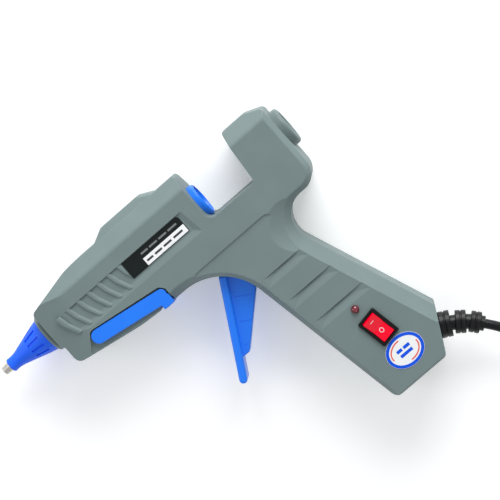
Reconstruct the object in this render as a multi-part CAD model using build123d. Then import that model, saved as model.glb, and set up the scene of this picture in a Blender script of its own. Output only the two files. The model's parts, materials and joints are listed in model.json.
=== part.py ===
from build123d import *
import os
from math import atan2, cos, degrees, pi, radians, sin, tan

# A corded hot glue gun lying on its right side, in millimetres.
# The model is drawn in the gun's own axes: x runs back along the barrel from the
# end of the nozzle, y runs up to the top of the barrel and z runs to the left side.
# place() then moves every piece so that the origin is under the middle of the gun.

# ---- driving sizes ----
HALF_WIDTH = 18.0  # half the width of the housing, over both shells
WALL = 2.6  # thickness of the shells
BEVEL_HEIGHT = 8.0  # how far the bevels reach in from each side
BEVEL_WIDTH = 6.5  # how wide they are, seen from the side
EDGE_ROUND = 1.2  # rounding where the bevels meet the sides
NOSE_X = 30.3  # front of the barrel, from the nozzle's end
CHIN_X = 31.9  # front of its lower half
TOP_Y = 17.5  # top of the barrel, from the nozzle's axis
SLOT_FRONT_X = 122.3  # the gap where the glue stick is loaded
SLOT_LENGTH = 27.5
SLOT_FLOOR_Y = -9.3
HOOK_LENGTH = 24.1  # the housing behind the gap
BARREL_BOTTOM_Y = -26.3
GRIP_LENGTH = 101.8  # below the barrel
GRIP_FRONT_LEAN = 10.6  # degrees
GRIP_REAR_LEAN = 21.5
GRIP_WIDTH = 28.9  # across the neck, along x, where the two leans start
GRIP_INSET = 0.8  # the grip's sides lie this much below the barrel's

STICK_RADIUS = 5.6  # the glue stick
STICK_CLEARANCE = 0.6
TIP_RADIUS = 2.25
COVER_REAR_X = 27.2
COVER_REAR_RADIUS = 8.75
COLLAR_RADIUS = 10.1
CHAMBER_RADIUS = 9.0
CHAMBER_LENGTH = 52.0
SLEEVE_RADIUS = 8.8  # the carriage that carries the stick
SLIDE_CLEARANCE = 0.1
PIN_CLEARANCE = 0.05
SEAT_CLEARANCE = 0.2  # between pieces that don't move on each other

TRIGGER_PIVOT = (112.0, -26.0)
TRIGGER_PIN_RADIUS = 2.0
TRIGGER_HALF_WIDTH = 9.0
WEB_HALF_WIDTH = 6.5
TRIGGER_SWING = 24.0  # degrees
ARM_HEIGHT = 14.6  # from the trigger pivot up to the carriage pin
ARM_HALF_WIDTH = 2.5
CARRIAGE_PIN_RADIUS = 1.5
TRIGGER_GAP = 0.6  # around the trigger where it enters the housing

STAND_PIVOT = (48.1, -15.9)
STAND_LENGTH = 34.3  # from the pivot to the middle of the foot
STAND_SLOPE = -8.8  # degrees, when it is folded
STAND_BAR = 2.0  # thickness of the arms
STAND_PIN_RADIUS = 2.0
STAND_GAP = 0.4

SWITCH_LENGTH = 16.0
SWITCH_WIDTH = 10.8
SWITCH_FROM_BUTT = 30.8  # up the grip
LED_RADIUS = 2.05
LED_FROM_BUTT = 44.0
STICKER_FROM_BUTT = 14.6
CORD_RADIUS = 2.3
COIL_RADIUS = 26.0  # at the middle of the turns
COIL_CENTRE = (136.5, -120.0)  # on the surface that the gun lies on
SCREW_RADIUS = 1.4
SCREW_HEAD_RADIUS = 2.4
SCREW_HEAD_Z = 9.5  # how far the heads lie from the middle
SCREW_REACH = 8.6  # how deep the screws go past the middle
POST_RADIUS = 3.8
GUIDE_RADIUS = 7.6  # the tube that leads the stick through the rear of the housing
TRIGGER_PIN_REACH = 13.0
RECESS_DEPTH = 1.1  # the ribs and the plate lie this deep
RIB_COUNT = 7
RIB_PITCH = 6.25
RIB_WIDTH = 3.0
PLATE_LENGTH = 34.2
PLATE_HEIGHT = 9.0
GLAND_RADIUS = 4.2  # of the hole that the relief comes out of

# nozzle, melting chamber and heater
THREAD_RADIUS = 4.6
CHAMBER_NECK_RADIUS = 7.5
HEATER_LENGTH = 30.0
HEATER_Z = 5.0  # half its width
HEATER_STACK = (0.35, 0.5, 1.8, 0.5, 0.35)  # insulation, electrode, heater, electrode, insulation

# jaw and spring
JAW_HALF_WIDTH = 3.0
JAW_PIN_RADIUS = 1.0
SPRING_RADIUS = 2.2
SPRING_Z = 4.8  # beside the trigger, on the left
GUIDE_BOSS_RADIUS = 9.85  # round the stick hole at the rear
GUIDE_MOUTH = 1.5  # how much its mouth is chamfered
TRIGGER_LINES = (11.0, 23.0, 34.0)  # how far down the trigger the web's shallow grooves lie
TRIGGER_LINE_WIDTH = 0.6

# rocker switch and rating plate
ROCKER_TILT = 7.0  # degrees, to each side
ROCKER_Z = -0.6  # the rocker's axle, from the grip's side
ROCKER_RADIUS = 6.7
ROCKER_HALF_WIDTH = 3.7
SWITCH_DEPTH = 10.5
PLATE_THICKNESS = 0.35

# cord, from its clamp in the grip to the plug
RELIEF_STEPS = [  # length of each stretch, and how much the next one bends down
    (7.4, -10.0),
    (7.0, -13.0),
    (6.8, 0.0),
]
CLAMP_X = -11.5  # along the relief's axis
TAIL_LENGTH = 9.0
WIRE_RADIUS = 0.8
FIRST_RUN = 7.2  # straight out of the relief
# the cord's route from there to its coil, then from the coil to the plug
ROUTE_DOWN = [
    (104.0, -88.9, 17.1),
    (105.6, -97.1, 14.8),
    (105.9, -105.7, 11.6),
    (106.1, -114.2, 8.6),
    (107.2, -122.3, 6.4),
]
ROUTE_UP = [
    (130.1, -94.3, 12.4),
    (120.9, -98.6, 12.6),
    (114.6, -106.4, 13.7),
    (112.2, -116.2, 15.6),
    (114.4, -126.1, 17.9),
    (120.7, -134.0, 20.0),
    (129.8, -138.4, 21.4),
]
PLUG_AT = (139.9, -138.4, 21.4)  # where the plug's sleeve starts, pointing along x
COIL_FLOOR = 1.1  # the coil lies this far off the surface
COIL_BUNDLE = 13.9  # height and width of the bundle of turns
PLUG_SLEEVE = 15.0
PLUG_LENGTH = 23.0
PLUG_WIDTH = 22.0
PLUG_HEIGHT = 12.6
BLADE_LENGTH = 16.5
BLADE_SPACING = 12.7

# ---- sizes worked out from them ----
SLOT_REAR_X = SLOT_FRONT_X + SLOT_LENGTH
REAR_X = SLOT_REAR_X + HOOK_LENGTH
GUIDE_REAR_X = REAR_X + 4.1
BUTT_Y = BARREL_BOTTOM_Y - GRIP_LENGTH
HUMP_TOP_Y = TOP_Y + 3.6
BEVEL_Z = HALF_WIDTH - BEVEL_HEIGHT
GRIP_Z = HALF_WIDTH - GRIP_INSET
CAVITY_Z = HALF_WIDTH - WALL
GRIP_CAVITY_Z = GRIP_Z - WALL
BORE_RADIUS = STICK_RADIUS + STICK_CLEARANCE
PLATE_X = NOSE_X + 47.9
NECK_X = TRIGGER_PIVOT[0] + 2.4  # where the grip's front line meets the barrel's underside
TRAVEL = 2 * ARM_HEIGHT * tan(radians(TRIGGER_SWING / 2))  # of the carriage
NOZZLE = [(0.4, TIP_RADIUS), (4.1, TIP_RADIUS + 0.35), (9.0, 2.6), (24.0, 6.2), (COVER_REAR_X + 1.2, 6.2)]
THREAD_END_X = NOSE_X + 7.0
CHAMBER_X = NOSE_X + WALL + SEAT_CLEARANCE
CHAMBER_REAR_X = CHAMBER_X + CHAMBER_LENGTH
HEATER_X = CHAMBER_X + 12.0
HEATER_TOP_Y = -CHAMBER_RADIUS - 0.6
HEATER_HEIGHT = sum(HEATER_STACK)
SLEEVE_REAR_X = CHAMBER_REAR_X + 11.3
CARRIAGE_X = SLEEVE_REAR_X + TRAVEL + 1.3
CARRIAGE_REAR_X = SLOT_FRONT_X + 3.0
PIN_REST_X = TRIGGER_PIVOT[0] + TRAVEL / 2
PIN_Y = TRIGGER_PIVOT[1] + ARM_HEIGHT
JAW_PIVOT = (SLOT_FRONT_X - 5.9, SLEEVE_RADIUS + 1.6)
LUG_Z = ARM_HALF_WIDTH + 0.7
SPRING_POST_X = SLOT_REAR_X + 0.5
SPRING_Y = SLOT_FLOOR_Y - 6.5


def grip_front(y):
    """x of the grip's front line at a height."""
    return NECK_X + (BARREL_BOTTOM_Y - y) * tan(radians(GRIP_FRONT_LEAN))


def grip_rear(y):
    """x of the grip's rear line at a height."""
    return NECK_X + GRIP_WIDTH + (BARREL_BOTTOM_Y - y) * tan(radians(GRIP_REAR_LEAN))


HEEL_Y = BUTT_Y + 21.6
HEEL_X = grip_rear(HEEL_Y)
HEEL_FOOT_X = HEEL_X - 11.4


# ---- helpers ----
def face(points):
    """A flat face, facing +z, from corners (x, y, corner radius)."""
    pairs = zip(points, points[1:] + points[:1])
    if sum(a[0] * b[1] - b[0] * a[1] for a, b in pairs) < 0:
        points = points[::-1]
    line = FilletPolyline(*[p[:2] for p in points], radius=[p[2] for p in points], close=True)
    return make_face(line)


def prism(points, z0, z1):
    """The outline, made solid from z0 to z1."""
    return extrude(Pos(0, 0, z0) * face(points), amount=z1 - z0, dir=(0, 0, 1))


def block(x0, x1, y0, y1, z0, z1):
    middle = Pos((x0 + x1) / 2, (y0 + y1) / 2, (z0 + z1) / 2)
    return middle * Box(x1 - x0, y1 - y0, z1 - z0)


def rod_z(x, y, radius, z0, z1):
    return Pos(x, y, (z0 + z1) / 2) * Cylinder(radius, z1 - z0)


def rod_x(radius, x0, x1, y=0.0, z=0.0):
    return Pos((x0 + x1) / 2, y, z) * Rot(0, 90, 0) * Cylinder(radius, x1 - x0)


def turned(points):
    """A solid of revolution about the barrel's axis, from (x, radius) corners."""
    return revolve(make_face(Polyline(*points, close=True)), axis=Axis.X)


def both_sides(solid):
    return solid + mirror(solid, about=Plane.XY)


# ---- the housing's form ----
def silhouette():
    """The housing seen from its left side, with the gap for the glue stick."""
    return [
        (NOSE_X, TOP_Y - 5.9, 2.5),
        (NOSE_X + 24.0, TOP_Y - 0.3, 25.0),
        (NOSE_X + 40.0, TOP_Y + 0.3, 25.0),
        (SLOT_FRONT_X, TOP_Y + 0.3, 2.2),
        (SLOT_FRONT_X, SLOT_FLOOR_Y, 4.0),
        (SLOT_REAR_X, SLOT_FLOOR_Y, 2.5),
        (SLOT_REAR_X + 2.4, TOP_Y + 0.3, 2.0),
        (REAR_X - 9.4, TOP_Y + 0.3, 6.0),
        (REAR_X, TOP_Y - 3.6, 2.5),
        (REAR_X, BARREL_BOTTOM_Y - 0.7, 9.0),
        (grip_rear(BARREL_BOTTOM_Y - 0.7), BARREL_BOTTOM_Y - 0.7, 12.8),
        (HEEL_X, HEEL_Y, 5.0),
        (HEEL_FOOT_X, BUTT_Y, 3.0),
        (grip_front(BUTT_Y), BUTT_Y, 4.0),
        (grip_front(BARREL_BOTTOM_Y), BARREL_BOTTOM_Y, 27.0),
        (CHIN_X + 50.0, BARREL_BOTTOM_Y, 40.0),
        (CHIN_X + 34.0, BARREL_BOTTOM_Y + 1.0, 50.0),
        (CHIN_X, BARREL_BOTTOM_Y + 6.9, 3.8),
        (CHIN_X, -9.6, 0.6),
        (NOSE_X, -9.6, 0.6),
    ]


def bevel_outline():
    """The outline that the side bevels slope in from. It stands outside the silhouette by as
    much as each edge's bevel is narrower than the widest one."""
    low, rear, front, heel = 4.7, 4.3, 2.9, 4.0
    under = BARREL_BOTTOM_Y - low
    return [
        (NOSE_X - 30.0, 60.0, 0),
        (REAR_X + rear, 60.0, 0),
        (REAR_X + rear, under, 9.0 + rear),
        (grip_rear(under), under, 9.5),
        (HEEL_X + 2.0, HEEL_Y - 5.0 - 2.0, 0),
        (HEEL_FOOT_X + heel, BUTT_Y - low, 0),
        (grip_front(BUTT_Y) - front, BUTT_Y - low, 0),
        (grip_front(BARREL_BOTTOM_Y) - front, BARREL_BOTTOM_Y - 0.6, 27.0),
        (CHIN_X + 45.0, BARREL_BOTTOM_Y - 3.4, 0),
        (NOSE_X - 30.0, BARREL_BOTTOM_Y + 5.8, 0),
    ]


def form(inset):
    """The housing's outer form, or its cavity when inset is the wall."""
    height = HALF_WIDTH - inset
    side = offset(face(silhouette()), amount=-inset, kind=Kind.INTERSECTION) if inset else face(silhouette())
    body = extrude(Pos(0, 0, -height - 1) * side, amount=2 * height + 2, dir=(0, 0, 1))
    rise = height - BEVEL_Z
    slope = degrees(atan2(BEVEL_WIDTH, BEVEL_HEIGHT))
    outer = face(bevel_outline())
    if inset:
        outer = offset(outer, amount=-1.2 * inset, kind=Kind.INTERSECTION)
    cap = extrude(Pos(0, 0, BEVEL_Z) * outer, amount=rise, dir=(0, 0, 1), taper=slope)
    if not inset:
        cap = fillet(cap.faces().sort_by(Axis.Z)[-1].edges(), EDGE_ROUND)
    core = extrude(Pos(0, 0, -BEVEL_Z) * outer, amount=2 * BEVEL_Z, dir=(0, 0, 1))
    body = body & (core + both_sides(cap))
    # the barrel's section, looking along it, with a broad bevel on each side of the top
    top = TOP_Y - inset
    shoulder = top - 7.2
    wide = height + 0.02  # clear of the side faces, which the bevelled solid ends at
    section = [
        (BUTT_Y - 20, wide, 0),
        (shoulder, wide, 0 if inset else 2.5),
        (top, height - BEVEL_HEIGHT, 0 if inset else 1.5),
        (top, BEVEL_HEIGHT - height, 0 if inset else 1.5),
        (shoulder, -wide, 0 if inset else 2.5),
        (BUTT_Y - 20, -wide, 0),
    ]
    along = extrude(Plane.YZ * face(section), amount=REAR_X + 20)
    body = body & along
    # the nose, looking down on it, narrows towards the collar
    nose = 13.6 - inset
    plan = [
        (NOSE_X - 20, nose - 6.0, 0),
        (NOSE_X + 1.0 + inset, nose, 0 if inset else 3.0),
        (NOSE_X + 16.0 + inset, wide, 0 if inset else 20.0),
        (REAR_X + 20, wide, 0),
        (REAR_X + 20, -wide, 0),
        (NOSE_X + 16.0 + inset, -wide, 0 if inset else 20.0),
        (NOSE_X + 1.0 + inset, -nose, 0 if inset else 3.0),
        (NOSE_X - 20, 6.0 - nose, 0),
    ]
    down = extrude(Rot(90, 0, 0) * face(plan), amount=400, both=True)
    return body & down


def on_grip(up, across, z=0.0):
    """A place on the grip: a height above the butt, and how far across it from its middle,
    turned with the grip's front line."""
    y = BUTT_Y + up
    x = (grip_front(y) + grip_rear(y)) / 2 + across
    return Pos(x, y, z) * Rot(0, 0, GRIP_FRONT_LEAN)


SWITCH_PLACE = on_grip(SWITCH_FROM_BUTT, -0.8, GRIP_Z)
LED_PLACE = on_grip(LED_FROM_BUTT, 0.3, GRIP_Z)
STICKER_PLACE = on_grip(STICKER_FROM_BUTT, -3.3, GRIP_Z) * Rot(0, 0, -GRIP_FRONT_LEAN)
SCREW_PLACES = [
    (CHIN_X + 4.9, BARREL_BOTTOM_Y + 12.4),
    (SLOT_FRONT_X - 29.0, TOP_Y - 4.9),
    (SLOT_FRONT_X - 30.0, BARREL_BOTTOM_Y + 6.0),
    (SLOT_REAR_X + 9.0, TOP_Y - 4.9),
    (SLOT_REAR_X + 9.0, BARREL_BOTTOM_Y + 6.8),
    (grip_rear(-58.0) - 9.5, -58.0),
    (grip_front(BUTT_Y + 8.0) + 7.5, BUTT_Y + 8.0),
    (HEEL_X - 7.8, HEEL_Y + 5.0),
]


# the cord's strain relief stands on the flat face under the heel
RELIEF_ANGLE = degrees(atan2(HEEL_FOOT_X - HEEL_X, HEEL_Y - BUTT_Y))
RELIEF_PLACE = Pos((HEEL_X + HEEL_FOOT_X) / 2, (HEEL_Y + BUTT_Y) / 2, 0) * Rot(0, 0, RELIEF_ANGLE)


# ---- housing ----
def side_recess():
    """The shallow panel on the barrel's side, with a wide bevel below and behind it."""
    x0, x1 = NOSE_X + 6.3, SLOT_FRONT_X - 7.2
    floor = [(x0, 2.6, 0.5), (x0 + 3.9, -7.6, 0.5), (x1 - 1.2, -7.6, 0.5), (x1 - 2.4, 2.6, 0.5)]
    rim = [(x0 - 0.2, 2.9, 0.5), (x0 + 4.4, -10.8, 0.5), (x1 + 2.2, -10.8, 0.5), (x1 + 0.2, 2.9, 0.5)]
    z = HALF_WIDTH - RECESS_DEPTH
    low = Pos(0, 0, z) * face(floor)
    high = Pos(0, 0, HALF_WIDTH + 0.1) * face(rim)
    return loft([low, high], ruled=True)


def ribs():
    """Leaning louvre ribs that fill the front half of the side panel."""
    solids = []
    for i in range(RIB_COUNT):
        x = NOSE_X + 7.1 + RIB_PITCH * i
        lean = [
            (x, 2.8, 0),
            (x + 1.1, -2.4, 6.0),
            (x + 4.1, -9.0, 0),
            (x + 4.1 + RIB_WIDTH, -9.0, 0),
            (x + 1.1 + RIB_WIDTH, -2.4, 6.0),
            (x + RIB_WIDTH, 2.8, 0),
        ]
        rib = prism(lean, HALF_WIDTH - RECESS_DEPTH - 0.3, HALF_WIDTH - 0.15)
        top = rib.faces().sort_by(Axis.Z)[-1].edges().filter_by(lambda e: e.length > 3.5)
        solids.append(chamfer(top, 0.8, 0.9) & block(0, PLATE_X - 0.4, -20, 20, 0, 20))
    return solids


def stand_pocket():
    """The pocket in the barrel's side where an arm of the stand folds away."""
    x, y = STAND_PIVOT
    end = x + STAND_LENGTH + 3.7
    pocket = [
        (x - 1.7, y + 4.5, 3.0),
        (end - 2.0, y - 0.9, 2.2),
        (end + 0.1, y - 3.4, 0),
        (end + 0.1, BARREL_BOTTOM_Y - 9, 0),
        (x - 8.2, BARREL_BOTTOM_Y - 9, 0),
        (x - 8.2, y - 3.9, 0),
    ]
    return pocket


def groove(up, across, length):
    """A cutter for one finger groove on the grip's side: steep above, and running out below."""
    depth, height = 1.3, 4.6
    radius = (length / 2) ** 2 / (2 * depth)
    wedge = Polyline((0, -depth), (0.4, 1.2), (-height - 1, 1.2), (-height, 0), close=True)
    cut = extrude(Plane.YZ * make_face(wedge), amount=length, both=True)
    lens = Pos(0, 0, radius - depth) * Rot(90, 0, 0) * Cylinder(radius, 30)
    place = on_grip(up, across, GRIP_Z)
    return place * Rot(0, 0, -GRIP_FRONT_LEAN) * (cut & lens)


def trigger_slot():
    """The opening in the grip's front that the trigger swings through."""
    x, y = TRIGGER_PIVOT
    return [
        (x - 6.0, y + 7.0, 0),
        (x - 6.0, y - 10.0, 0),
        (x - 14.0, y - 34.5, 0),
        (x + 9.5, y - 34.5, 1.5),
        (x + 16.0, y - 19.0, 4.0),
        (x + 16.0, y + 7.0, 0),
    ]


def housing():
    """Both shells as one solid, before it is split down the middle."""
    body = form(0.0)
    hump = loft(
        [
            Pos(0, TOP_Y - 0.5, 0) * Rot(90, 0, 0) * Pos(91.5, 0, 0) * RectangleRounded(38.4, 20.2, 2.0),
            Pos(0, HUMP_TOP_Y, 0) * Rot(90, 0, 0) * Pos(91.5, 0, 0) * RectangleRounded(23.0, 13.0, 2.0),
        ],
        ruled=True,
    )
    hump = fillet(hump.faces().sort_by(Axis.Y)[-1].edges(), 0.9)
    body = body + hump

    cavity = form(WALL)
    pivot_x, pivot_y = STAND_PIVOT
    deep = HALF_WIDTH - STAND_BAR - 2 * STAND_GAP
    keep_front = block(pivot_x - 11.0, pivot_x + STAND_LENGTH + 7.5, -40, pivot_y + 7.5, deep - WALL, 20)
    cavity = cavity - both_sides(keep_front)
    cavity = cavity - block(pivot_x + 24.0, pivot_x + STAND_LENGTH + 8.0, -40, BARREL_BOTTOM_Y + 4.9, -20, 20)
    cavity = cavity - both_sides(block(100, 200, BUTT_Y - 5, BARREL_BOTTOM_Y + 4.4, GRIP_CAVITY_Z, 20))
    body = body - cavity

    # the grip's sides lie lower than the barrel's, with a hollow for the thumb
    neck = NECK_X + 12.0
    inset = [
        (neck - 25.0, BARREL_BOTTOM_Y + 2.2, 0),
        (neck + 18.0, BARREL_BOTTOM_Y + 2.2, 4.0),
        (neck + 22.0, BARREL_BOTTOM_Y - 6.0, 4.0),
        (neck + 90.0, BUTT_Y, 0),
        (neck + 40.0, BUTT_Y - 20.0, 0),
        (neck - 50.0, BUTT_Y - 20.0, 0),
        (neck - 38.0, BARREL_BOTTOM_Y - 9.0, 0),
    ]
    step = extrude(Pos(0, 0, GRIP_Z) * face(inset), amount=2.0, dir=(0, 0, 1), taper=-45)
    thumb = Pos(grip_rear(BARREL_BOTTOM_Y) + 7.0, BARREL_BOTTOM_Y - 10.5, GRIP_Z + 30.3) * Sphere(32.5)
    cuts = step + thumb
    for up, across, length in ((81.8, 0.0, 23.5), (66.9, -0.3, 26.7), (51.5, -0.4, 29.9)):
        cuts = cuts + groove(up, across, length)
    body = body - both_sides(cuts)

    # the ribbed panels and the stand's pockets
    body = body - both_sides(side_recess())
    for rib in ribs():
        body = body + both_sides(rib)
    body = body - both_sides(prism(stand_pocket(), deep, HALF_WIDTH + 1))
    foot = pivot_x + STAND_LENGTH
    notch = [
        (foot - 4.4, BARREL_BOTTOM_Y + 2.3, 0),
        (foot + 3.8, BARREL_BOTTOM_Y + 2.3, 0),
        (foot + 3.8, BARREL_BOTTOM_Y - 9, 0),
        (foot - 8.0, BARREL_BOTTOM_Y - 9, 0),
    ]
    body = body - prism(notch, -20, 20)
    body = body - rod_z(pivot_x, pivot_y, STAND_PIN_RADIUS + PIN_CLEARANCE, -20, 20)

    # openings along the barrel
    body = body - rod_x(COLLAR_RADIUS - 2.0, NOSE_X - 1, NOSE_X + WALL + 2)
    body = body - rod_x(SLEEVE_RADIUS + SLIDE_CLEARANCE, SLOT_FRONT_X - WALL - 1, SLOT_FRONT_X + 4)
    body = body - rod_x(GUIDE_RADIUS, SLOT_REAR_X - 3, REAR_X + 1)
    body = body - prism(trigger_slot(), -TRIGGER_HALF_WIDTH - TRIGGER_GAP, TRIGGER_HALF_WIDTH + TRIGGER_GAP)

    # the switch, the lamp and the cord
    body = body - SWITCH_PLACE * Box(SWITCH_WIDTH - 1.4, SWITCH_LENGTH - 2.0, 12)
    body = body - LED_PLACE * Cylinder(LED_RADIUS, 12)
    body = body - RELIEF_PLACE * Rot(0, 90, 0) * Cylinder(GLAND_RADIUS, 16)

    # posts for the screws, the trigger's pin, the spring and the cord clamp
    inner = form(WALL - 0.3)
    posts = Part()
    for x, y in SCREW_PLACES:
        posts = posts + rod_z(x, y, POST_RADIUS, -20, 20)
    x, y = TRIGGER_PIVOT
    seat = WEB_HALF_WIDTH + 0.7
    posts = posts + both_sides(rod_z(x, y, TRIGGER_PIN_RADIUS + 2.6, seat, 20))
    posts = posts + rod_z(SPRING_POST_X, SPRING_Y, 2.2, 1.0, 20)
    body = body + (posts & inner)
    body = body - rod_z(x, y, TRIGGER_PIN_RADIUS, -TRIGGER_PIN_REACH, TRIGGER_PIN_REACH)
    for x, y in SCREW_PLACES:
        body = body - rod_z(x, y, SCREW_RADIUS, -20, 9.0)
        body = body - rod_z(x, y, SCREW_HEAD_RADIUS + SEAT_CLEARANCE, -20, -SCREW_HEAD_Z)
    return body


def shells():
    body = housing()
    left = body & block(-10, 250, -200, 60, 0, 40)
    right = body & block(-10, 250, -200, 60, -40, 0)
    return left, right


def housing_screws():
    """Eight self-tapping screws, put in from the right side."""
    screws = Part()
    for x, y in SCREW_PLACES:
        screw = rod_z(x, y, SCREW_RADIUS, -SCREW_HEAD_Z, SCREW_REACH)
        head = rod_z(x, y, SCREW_HEAD_RADIUS, -SCREW_HEAD_Z - 2.0, -SCREW_HEAD_Z)
        head = fillet(head.faces().sort_by(Axis.Z)[0].edges(), 0.7)
        for turn in (0, 90):
            slot = Pos(x, y, -SCREW_HEAD_Z - 2.0) * Rot(0, 0, turn) * Box(2.6, 0.6, 2.2)
            head = head - slot
        screws = screws + screw + head
    return screws


# ---- nozzle and heater ----


def nozzle_tip():
    base_x = NOZZLE[-1][0]
    outline = [(0, 0.9), (0, TIP_RADIUS - 0.4), *NOZZLE]
    outline += [(base_x, THREAD_RADIUS), (THREAD_END_X, THREAD_RADIUS), (THREAD_END_X, 3.0), (3.0, 0.9)]
    return turned(outline)


def nozzle_cover():
    """The silicone sleeve over the nozzle, with grip grooves round its wide end."""
    front = NOZZLE[1][0]
    outer = Spline(
        (front + 0.9, 3.55), (9.0, 3.65), (12.5, 4.6), (17.0, 5.9), (22.0, 7.4),
        (COVER_REAR_X, COVER_REAR_RADIUS),
    )
    inner = Polyline(
        (COVER_REAR_X, COVER_REAR_RADIUS), (COVER_REAR_X, 6.2), (24.0, 6.2), (9.0, 2.6),
        (front, NOZZLE[1][1]), (front, 3.0), (front + 0.3, 3.4), (front + 0.9, 3.55),
    )
    cover = revolve(make_face(outer + inner), axis=Axis.X)
    slope = degrees(atan2(COVER_REAR_RADIUS - 5.9, COVER_REAR_X - 17.0))
    for i in range(12):
        place = Rot(30 * i + 15, 0, 0) * Pos(20.8, 0, 7.1) * Rot(0, -slope, 0)
        cover = cover - place * Box(7.2, 1.1, 1.5)
    return cover


def front_collar():
    hole = NOZZLE[-1][1] + SEAT_CLEARANCE
    spigot = COLLAR_RADIUS - 2.0
    seat = COVER_REAR_X + 0.2
    return turned(
        [
            (seat, hole), (seat, COLLAR_RADIUS - 0.7), (seat + 0.7, COLLAR_RADIUS),
            (seat + 1.6, COLLAR_RADIUS), (seat + 1.6, COLLAR_RADIUS - 0.35),
            (seat + 2.0, COLLAR_RADIUS - 0.35), (seat + 2.0, COLLAR_RADIUS), (NOSE_X, COLLAR_RADIUS),
            (NOSE_X, spigot), (NOSE_X + WALL, spigot), (NOSE_X + WALL, hole),
        ]
    )


def melt_chamber():
    """The cast chamber that melts the stick, with the heater's pocket under it."""
    neck_x = CHAMBER_REAR_X - 5.0
    outer = turned(
        [
            (CHAMBER_X, 0), (CHAMBER_X, 6.8), (CHAMBER_X + 3.0, CHAMBER_RADIUS), (neck_x, CHAMBER_RADIUS),
            (neck_x, CHAMBER_NECK_RADIUS), (CHAMBER_REAR_X, CHAMBER_NECK_RADIUS), (CHAMBER_REAR_X, 0),
        ]
    )
    low = HEATER_TOP_Y - HEATER_HEIGHT
    seat = block(HEATER_X - 1.5, HEATER_X + HEATER_LENGTH, low - 1.6, -5.0, -HEATER_Z - 2.0, HEATER_Z + 2.0)
    chamber = outer + fillet(seat.edges().filter_by(Axis.X), 1.2)
    for x in (0.2, 0.4, 0.6, 0.8):
        fin = CHAMBER_X + 3.0 + x * (neck_x - CHAMBER_X)
        chamber = chamber + rod_x(CHAMBER_RADIUS + 0.6, fin, fin + 1.4)
    bore = turned(
        [
            (CHAMBER_X - 1, 0), (CHAMBER_X - 1, THREAD_RADIUS), (THREAD_END_X, THREAD_RADIUS),
            (THREAD_END_X, 3.0), (THREAD_END_X + 8.0, BORE_RADIUS), (CHAMBER_REAR_X + 1, BORE_RADIUS),
            (CHAMBER_REAR_X + 1, 0),
        ]
    )
    pocket = block(HEATER_X, HEATER_X + HEATER_LENGTH + 1, low, HEATER_TOP_Y, -HEATER_Z, HEATER_Z)
    return chamber - bore - pocket


def heater_parts():
    """The heater's stack: a wrap of insulation round two electrodes and the ceramic heater."""
    wrap, plate, core = HEATER_STACK[:3]
    x0, x1 = HEATER_X + 0.5, HEATER_X + HEATER_LENGTH - 0.5
    low, top = HEATER_TOP_Y - HEATER_HEIGHT, HEATER_TOP_Y
    insulation = block(x0, x1, low, top, -HEATER_Z, HEATER_Z)
    insulation = insulation - block(x0 - 1, x1 + 1, low + wrap, top - wrap, -HEATER_Z + wrap, HEATER_Z - wrap)
    wide = HEATER_Z - wrap - 0.3
    heater = block(x0 + 3, x1 - 3, low + wrap + plate, top - wrap - plate, -wide, wide)
    upper = block(x0 + 1, x1 + 5, top - wrap - plate, top - wrap, -wide, wide)
    lower = block(x0 + 1, x1 + 5, low + wrap, low + wrap + plate, -wide, wide)
    return insulation, heater, upper + lower


def inlet_sleeve():
    """The silicone sleeve that leads the stick into the chamber."""
    start = CHAMBER_REAR_X - 5.0
    return turned(
        [
            (start, CHAMBER_NECK_RADIUS), (start, CHAMBER_RADIUS), (SLEEVE_REAR_X, CHAMBER_RADIUS - 0.6),
            (SLEEVE_REAR_X, BORE_RADIUS + 1.0), (SLEEVE_REAR_X - 2.0, STICK_RADIUS + 0.2),
            (CHAMBER_REAR_X, STICK_RADIUS + 0.2), (CHAMBER_REAR_X, CHAMBER_NECK_RADIUS),
        ]
    )


def sleeve_clamp():
    start = CHAMBER_REAR_X - 3.8
    ring = rod_x(CHAMBER_RADIUS + 0.8, start, start + 3.0) - rod_x(CHAMBER_RADIUS, start, start + 3.0)
    ears = block(start, start + 3.0, -2.0, 2.0, CHAMBER_RADIUS + 0.5, CHAMBER_RADIUS + 4.0)
    return ring + ears - block(start, start + 3.0, -0.5, 0.5, CHAMBER_RADIUS - 1, CHAMBER_RADIUS + 5.0)


def chamber_supports():
    """Two heat-resistant plates that hold the chamber in the shells."""
    room = form(WALL + SEAT_CLEARANCE)
    plates = Part()
    for x in (CHAMBER_X + 5.0, CHAMBER_REAR_X - 9.0):
        slab = block(x, x + 2.0, -8.0, 40, -40, 40) & room
        plates = plates + (slab - rod_x(CHAMBER_RADIUS, x - 1, x + 3))
    return plates


def rear_guide():
    """The tube behind the gap, with the round boss where the stick goes in."""
    start = SLOT_REAR_X + 1.2
    guide = turned(
        [
            (start, BORE_RADIUS), (start, GUIDE_RADIUS), (REAR_X, GUIDE_RADIUS), (REAR_X, GUIDE_BOSS_RADIUS),
            (GUIDE_REAR_X, GUIDE_BOSS_RADIUS), (GUIDE_REAR_X, BORE_RADIUS),
        ]
    )
    rim = guide.edges().filter_by(GeomType.CIRCLE).filter_by(
        lambda e: abs(e.radius - GUIDE_BOSS_RADIUS) < 0.01 and e.center().X > REAR_X + 1
    )
    guide = fillet(rim, 1.6)
    mouth = guide.edges().filter_by(GeomType.CIRCLE).filter_by(
        lambda e: abs(e.radius - BORE_RADIUS) < 0.01 and e.center().X > REAR_X + 1
    )
    return chamfer(mouth, GUIDE_MOUTH)


# ---- feed ----


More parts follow.
